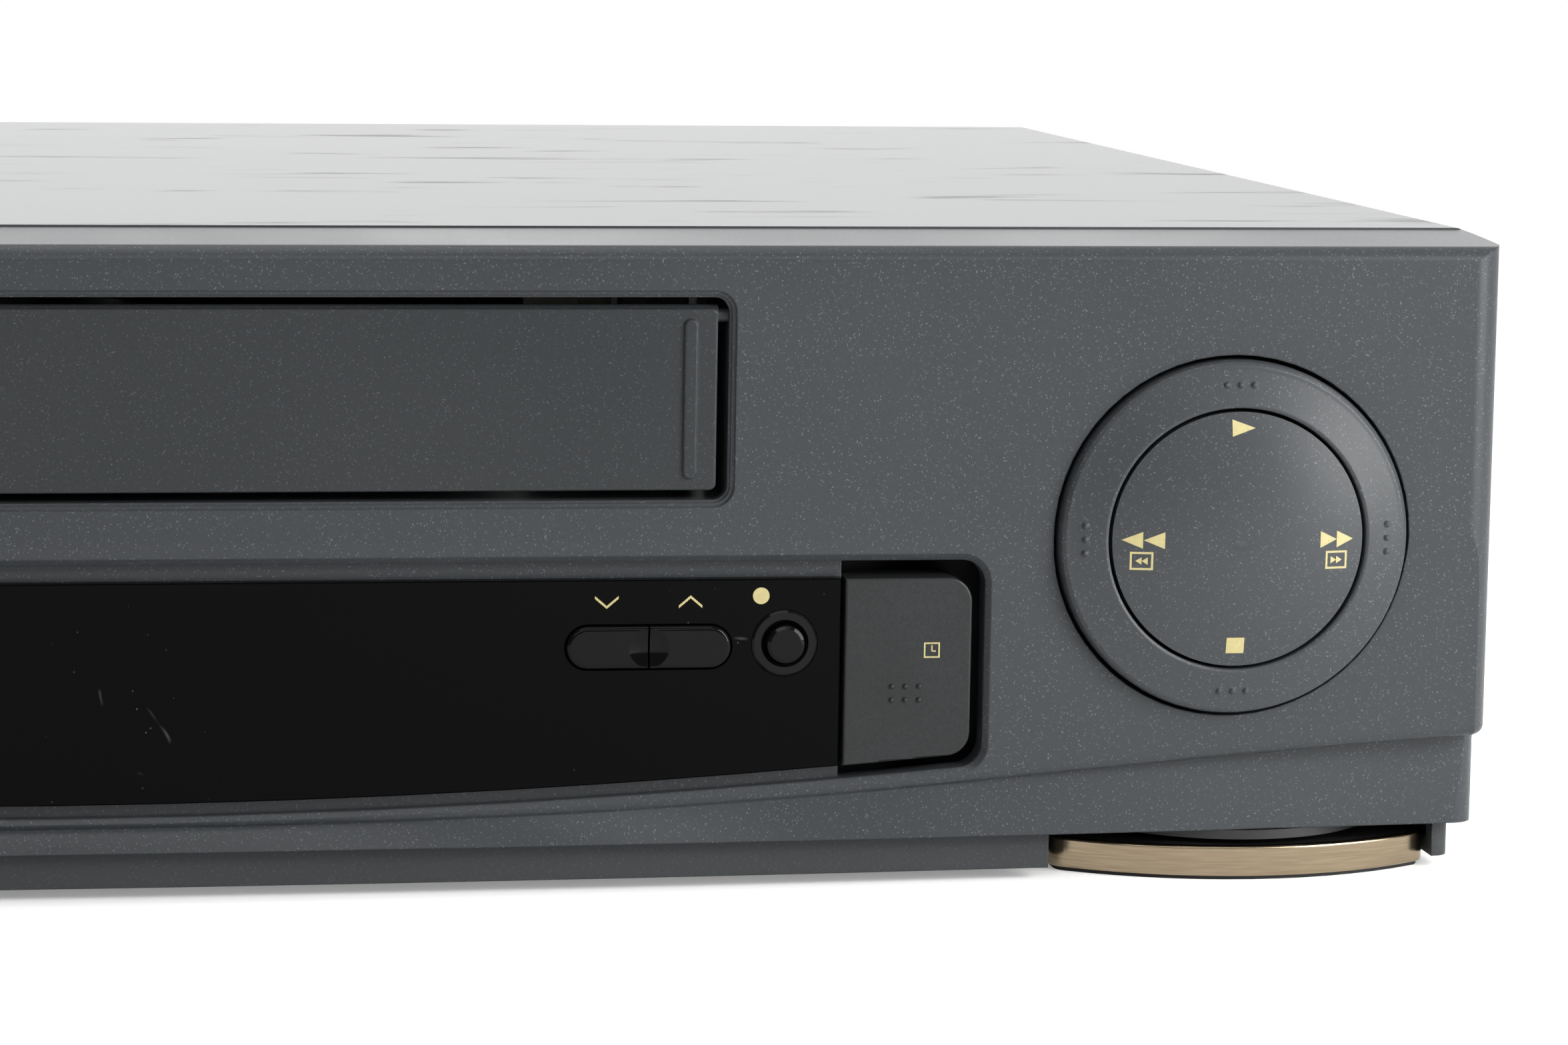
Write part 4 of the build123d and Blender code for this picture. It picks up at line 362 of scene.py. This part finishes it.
# printed marks
marks = {
    "ink": "#bdb27b",
    "wornInk": "#a29669",
    "inkMm": 0.03,  # pad-printed ink stands this proud
    "dome": {"x": 174.05, "z": 52.74, "r": 19.0, "rise": 2.1, "apex": -4.9},
    "windowDepth": 0.9,
    "keyDepth": 0.6,
}


def padPrint(name, look):
    # pad-printed epoxy ink: matt, a little uneven at the edge of each stroke
    material, tree, shader, place = startMaterial(name, roughness=0.5)
    wear = addNode(tree, "TexNoise", {"Scale": 2500.0, "Detail": 2.0}, {"Vector": place})
    colour = addNode(tree, "Mix", {"data_type": "RGBA", 6: linear(look["wornInk"]), 7: linear(look["ink"])},
                     {0: wear.outputs[0]})
    tree.links.new(colour.outputs[2], shader.inputs["Base Color"])
    return material


ink = padPrint("padPrintInk", marks)


def onDome(x, z):
    dome = marks["dome"]
    sphere = (dome["r"] ** 2 + dome["rise"] ** 2) / (2 * dome["rise"])
    away = math.hypot(x - dome["x"], z - dome["z"])
    return dome["apex"] + sphere - math.sqrt(sphere ** 2 - away ** 2)


def onWindow(x, z):
    return marks["windowDepth"]


def onKey(x, z):
    return marks["keyDepth"]


def printMark(name, shapes, surface, body):
    # flat shapes in (x, z) millimetres, cut fine enough to lie on the surface they are printed on
    mesh = bmesh.new()
    for outline in shapes:
        mesh.faces.new([mesh.verts.new((x * mm, 0, z * mm)) for x, z in outline])
    bmesh.ops.triangulate(mesh, faces=mesh.faces[:])
    bmesh.ops.subdivide_edges(mesh, edges=mesh.edges[:], cuts=2, use_grid_fill=True)
    bmesh.ops.recalc_face_normals(mesh, faces=mesh.faces[:])
    if mesh.faces[:] and mesh.faces[0].normal.y > 0:
        bmesh.ops.reverse_faces(mesh, faces=mesh.faces[:])
    back = {v: surface(v.co.x / mm, v.co.z / mm) for v in mesh.verts}
    sides = bmesh.ops.extrude_face_region(mesh, geom=mesh.faces[:], use_keep_orig=True)
    for v in back:
        v.co.y = faceY + (back[v] - marks["inkMm"]) * mm
    for v in sides["geom"]:
        if isinstance(v, bmesh.types.BMVert):
            v.co.y = faceY + (surface(v.co.x / mm, v.co.z / mm) + 0.01) * mm
    bmesh.ops.recalc_face_normals(mesh, faces=mesh.faces[:])
    data = bpy.data.meshes.new(name)
    mesh.to_mesh(data)
    mesh.free()
    data.materials.append(ink)
    piece = bpy.data.objects.new(name, data)
    bpy.context.scene.collection.objects.link(piece)
    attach(piece, body)
    return piece


def arrow(x, z, width, height, way=1):
    w, h = way * width / 2, height / 2
    return [(x - w, z - h), (x + w, z), (x - w, z + h)]


def block(x, z, width, height):
    w, h = width / 2, height / 2
    return [(x - w, z - h), (x + w, z - h), (x + w, z + h), (x - w, z + h)]


def frameOf(x, z, width, height, line):
    # an open rectangle, as four strips
    w, h = width / 2 - line / 2, height / 2 - line / 2
    strips = [block(x, z + h, width, line), block(x, z - h, width, line)]
    return strips + [block(x + side * w, z, line, height - 2 * line) for side in (-1, 1)]


def chevron(x, z, width, height, line, up=1):
    w, h = width / 2, height / 2
    left = [(x - w, z - up * h), (x, z + up * (h - line)), (x, z + up * h), (x - w, z - up * (h - line))]
    right = [(2 * x - a, b) for a, b in left]
    return [left, right]


def dotAt(x, z, r, sides=32):
    turns = [2 * math.pi * i / sides for i in range(sides)]
    return [(x + r * math.cos(t), z + r * math.sin(t)) for t in turns]


printMark("mark_play", [arrow(174.4, 69.4, 3.5, 2.5)], onDome, "recorder")
printMark("mark_rewind", [arrow(157.9, 52.8, 3.1, 2.5, -1), arrow(161.1, 52.8, 3.1, 2.5, -1)],
          onDome, "recorder")
printMark("mark_forward", [arrow(187.6, 52.8, 2.6, 2.5), arrow(190.2, 52.8, 2.6, 2.5)],
          onDome, "recorder")
printMark("mark_stop", [block(173.9, 36.9, 2.7, 2.4)], onDome, "recorder")
for name, x, way in (("mark_review", 159.3, -1), ("mark_cue", 188.9, 1)):
    arrows = [arrow(x + way * a, 49.7, 0.9, 1.1, way) for a in (-0.45, 0.45)]
    shapes = frameOf(x, 49.7, 3.4, 2.7, 0.3) + arrows
    printMark(name, shapes, onDome, "recorder")
printMark("mark_down", chevron(80.35, 43.4, 3.5, 1.9, 0.42, -1), onWindow, "recorder")
printMark("mark_up", chevron(92.8, 43.4, 3.5, 1.9, 0.42), onWindow, "recorder")
printMark("mark_record", [dotAt(103.3, 44.2, 1.24)], onWindow, "recorder")
clock = frameOf(129.0, 35.9, 2.4, 2.3, 0.22) + [block(129.0, 36.2, 0.2, 0.9), block(129.3, 35.75, 0.6, 0.2)]
printMark("mark_timer", clock, onKey, "timer_rec")
print("marks printed")

# floor and lights
studio = {
    "floor": "#fbfbfa",
    "floorLift": 0.25,  # seen by the camera and in reflections, so that the open floor reads as white
    "worldLight": 0.42,
    "frontLight": 0.12,  # the room in front of the object is dimmer than the white wall behind it
    "sideBox": {"at": (0.62, -0.53, 0.28), "size": (0.35, 0.5), "watts": 7},
    "frontStrip": {"at": (-0.1, -1.5, 0.95), "size": (1.8, 0.3), "watts": 7},
    "overhead": {"at": (-0.1, -0.15, 1.7), "size": (1.8, 1.2), "watts": 14},
    "rearBox": {"at": (0.0, 1.7, 0.42), "size": (2.6, 0.8), "watts": 11},
    "aim": (0.1, -0.1, 0.05),
}


def paleFloor():
    # matt painted board that runs out of sight on every side
    material, tree, shader, place = startMaterial("paleBoard", roughness=0.9)
    tone = addNode(tree, "TexNoise", {"Scale": 3.0}, {"Vector": place})
    colour = addNode(tree, "Mix", {"data_type": "RGBA", 6: linear(studio["floor"]), 7: linear("#ffffff")},
                     {0: tone.outputs[0]})
    path = addNode(tree, "LightPath")
    mirrored = addNode(tree, "Math", {"operation": "MAXIMUM"},
                       {0: path.outputs["Is Glossy Ray"], 1: path.outputs["Is Transmission Ray"]})
    seen = addNode(tree, "Math", {"operation": "MAXIMUM"},
                   {0: path.outputs["Is Camera Ray"], 1: mirrored.outputs[0]})
    lift = addNode(tree, "Math", {"operation": "MULTIPLY", 1: studio["floorLift"]}, {0: seen.outputs[0]})
    tree.links.new(colour.outputs[2], shader.inputs["Base Color"])
    tree.links.new(colour.outputs[2], shader.inputs["Emission Color"])
    tree.links.new(lift.outputs[0], shader.inputs["Emission Strength"])
    data = bpy.data.meshes.new("floor")
    data.from_pydata([(-1.6, -1.1, 0), (1.6, -1.1, 0), (1.6, 1.2, 0), (-1.6, 1.2, 0)], [], [(0, 1, 2, 3)])
    data.materials.append(material)
    floor = bpy.data.objects.new("floor", data)
    bpy.context.scene.collection.objects.link(floor)


def softBox(name, look):
    light = bpy.data.lights.new(name, "AREA")
    light.shape = "RECTANGLE"
    light.size, light.size_y = look["size"]
    light.energy = look["watts"]
    lamp = bpy.data.objects.new(name, light)
    lamp.location = look["at"]
    lamp.rotation_mode = "QUATERNION"
    lamp.rotation_quaternion = (Vector(studio["aim"]) - lamp.location).to_track_quat("-Z", "Y")
    lamp.visible_camera = False
    bpy.context.scene.collection.objects.link(lamp)


paleFloor()
for name in ("sideBox", "frontStrip", "overhead", "rearBox"):
    softBox(name, studio[name])
world = bpy.data.worlds.new("studio")
bpy.context.scene.world = world
world.use_nodes = True
sky = world.node_tree
sky.nodes.clear()
path = addNode(sky, "LightPath")
heading = addNode(sky, "SeparateXYZ", links={"Vector": addNode(sky, "TexCoord").outputs["Generated"]})
wall = addNode(sky, "MapRange",
               {"From Min": -0.3, "From Max": 0.3, "To Min": studio["frontLight"], "To Max": 1.0},
               {"Value": heading.outputs["Y"]})
plainLight = addNode(sky, "Math", {"operation": "MULTIPLY", 1: studio["worldLight"]}, {0: wall.outputs[0]})
mirrored = addNode(sky, "Math", {"operation": "MAXIMUM"},
                   {0: path.outputs["Is Glossy Ray"], 1: path.outputs["Is Transmission Ray"]})
indirect = addNode(sky, "Mix", {"data_type": "FLOAT"},
                   {0: mirrored.outputs[0], 2: plainLight.outputs[0], 3: wall.outputs[0]})
strength = addNode(sky, "Math", {"operation": "MAXIMUM"},
                   {0: indirect.outputs[0], 1: path.outputs["Is Camera Ray"]})
light = addNode(sky, "Background", {"Color": (1, 1, 1, 1)}, {"Strength": strength.outputs[0]})
addNode(sky, "OutputWorld", links={"Surface": light.outputs[0]})
bpy.context.scene.view_settings.view_transform = "Standard"
print("studio lit")

# camera
view = {
    "distanceMm": 581,
    "heightMm": 144.5,
    "turn": (-6.537, -5.555, -0.635),  # degrees: right, down, roll
    "lens": 93.04,
    "shift": (0.17, -0.14),
}
camera = bpy.data.cameras.new("camera")
camera.lens = view["lens"]
camera.shift_x, camera.shift_y = view["shift"]
camera.clip_start, camera.clip_end = 0.05, 20
eye = bpy.data.objects.new("camera", camera)
right, down, roll = (math.radians(angle) for angle in view["turn"])
turn = Matrix.Rotation(right, 4, "Z") @ Matrix.Rotation(down, 4, "X") @ Matrix.Rotation(roll, 4, "Y")
place = Matrix.Translation((0, faceY - view["distanceMm"] * mm, view["heightMm"] * mm))
eye.matrix_world = place @ turn @ Matrix.Rotation(math.pi / 2, 4, "X")
bpy.context.scene.collection.objects.link(eye)
bpy.context.scene.camera = eye

print("finishing")
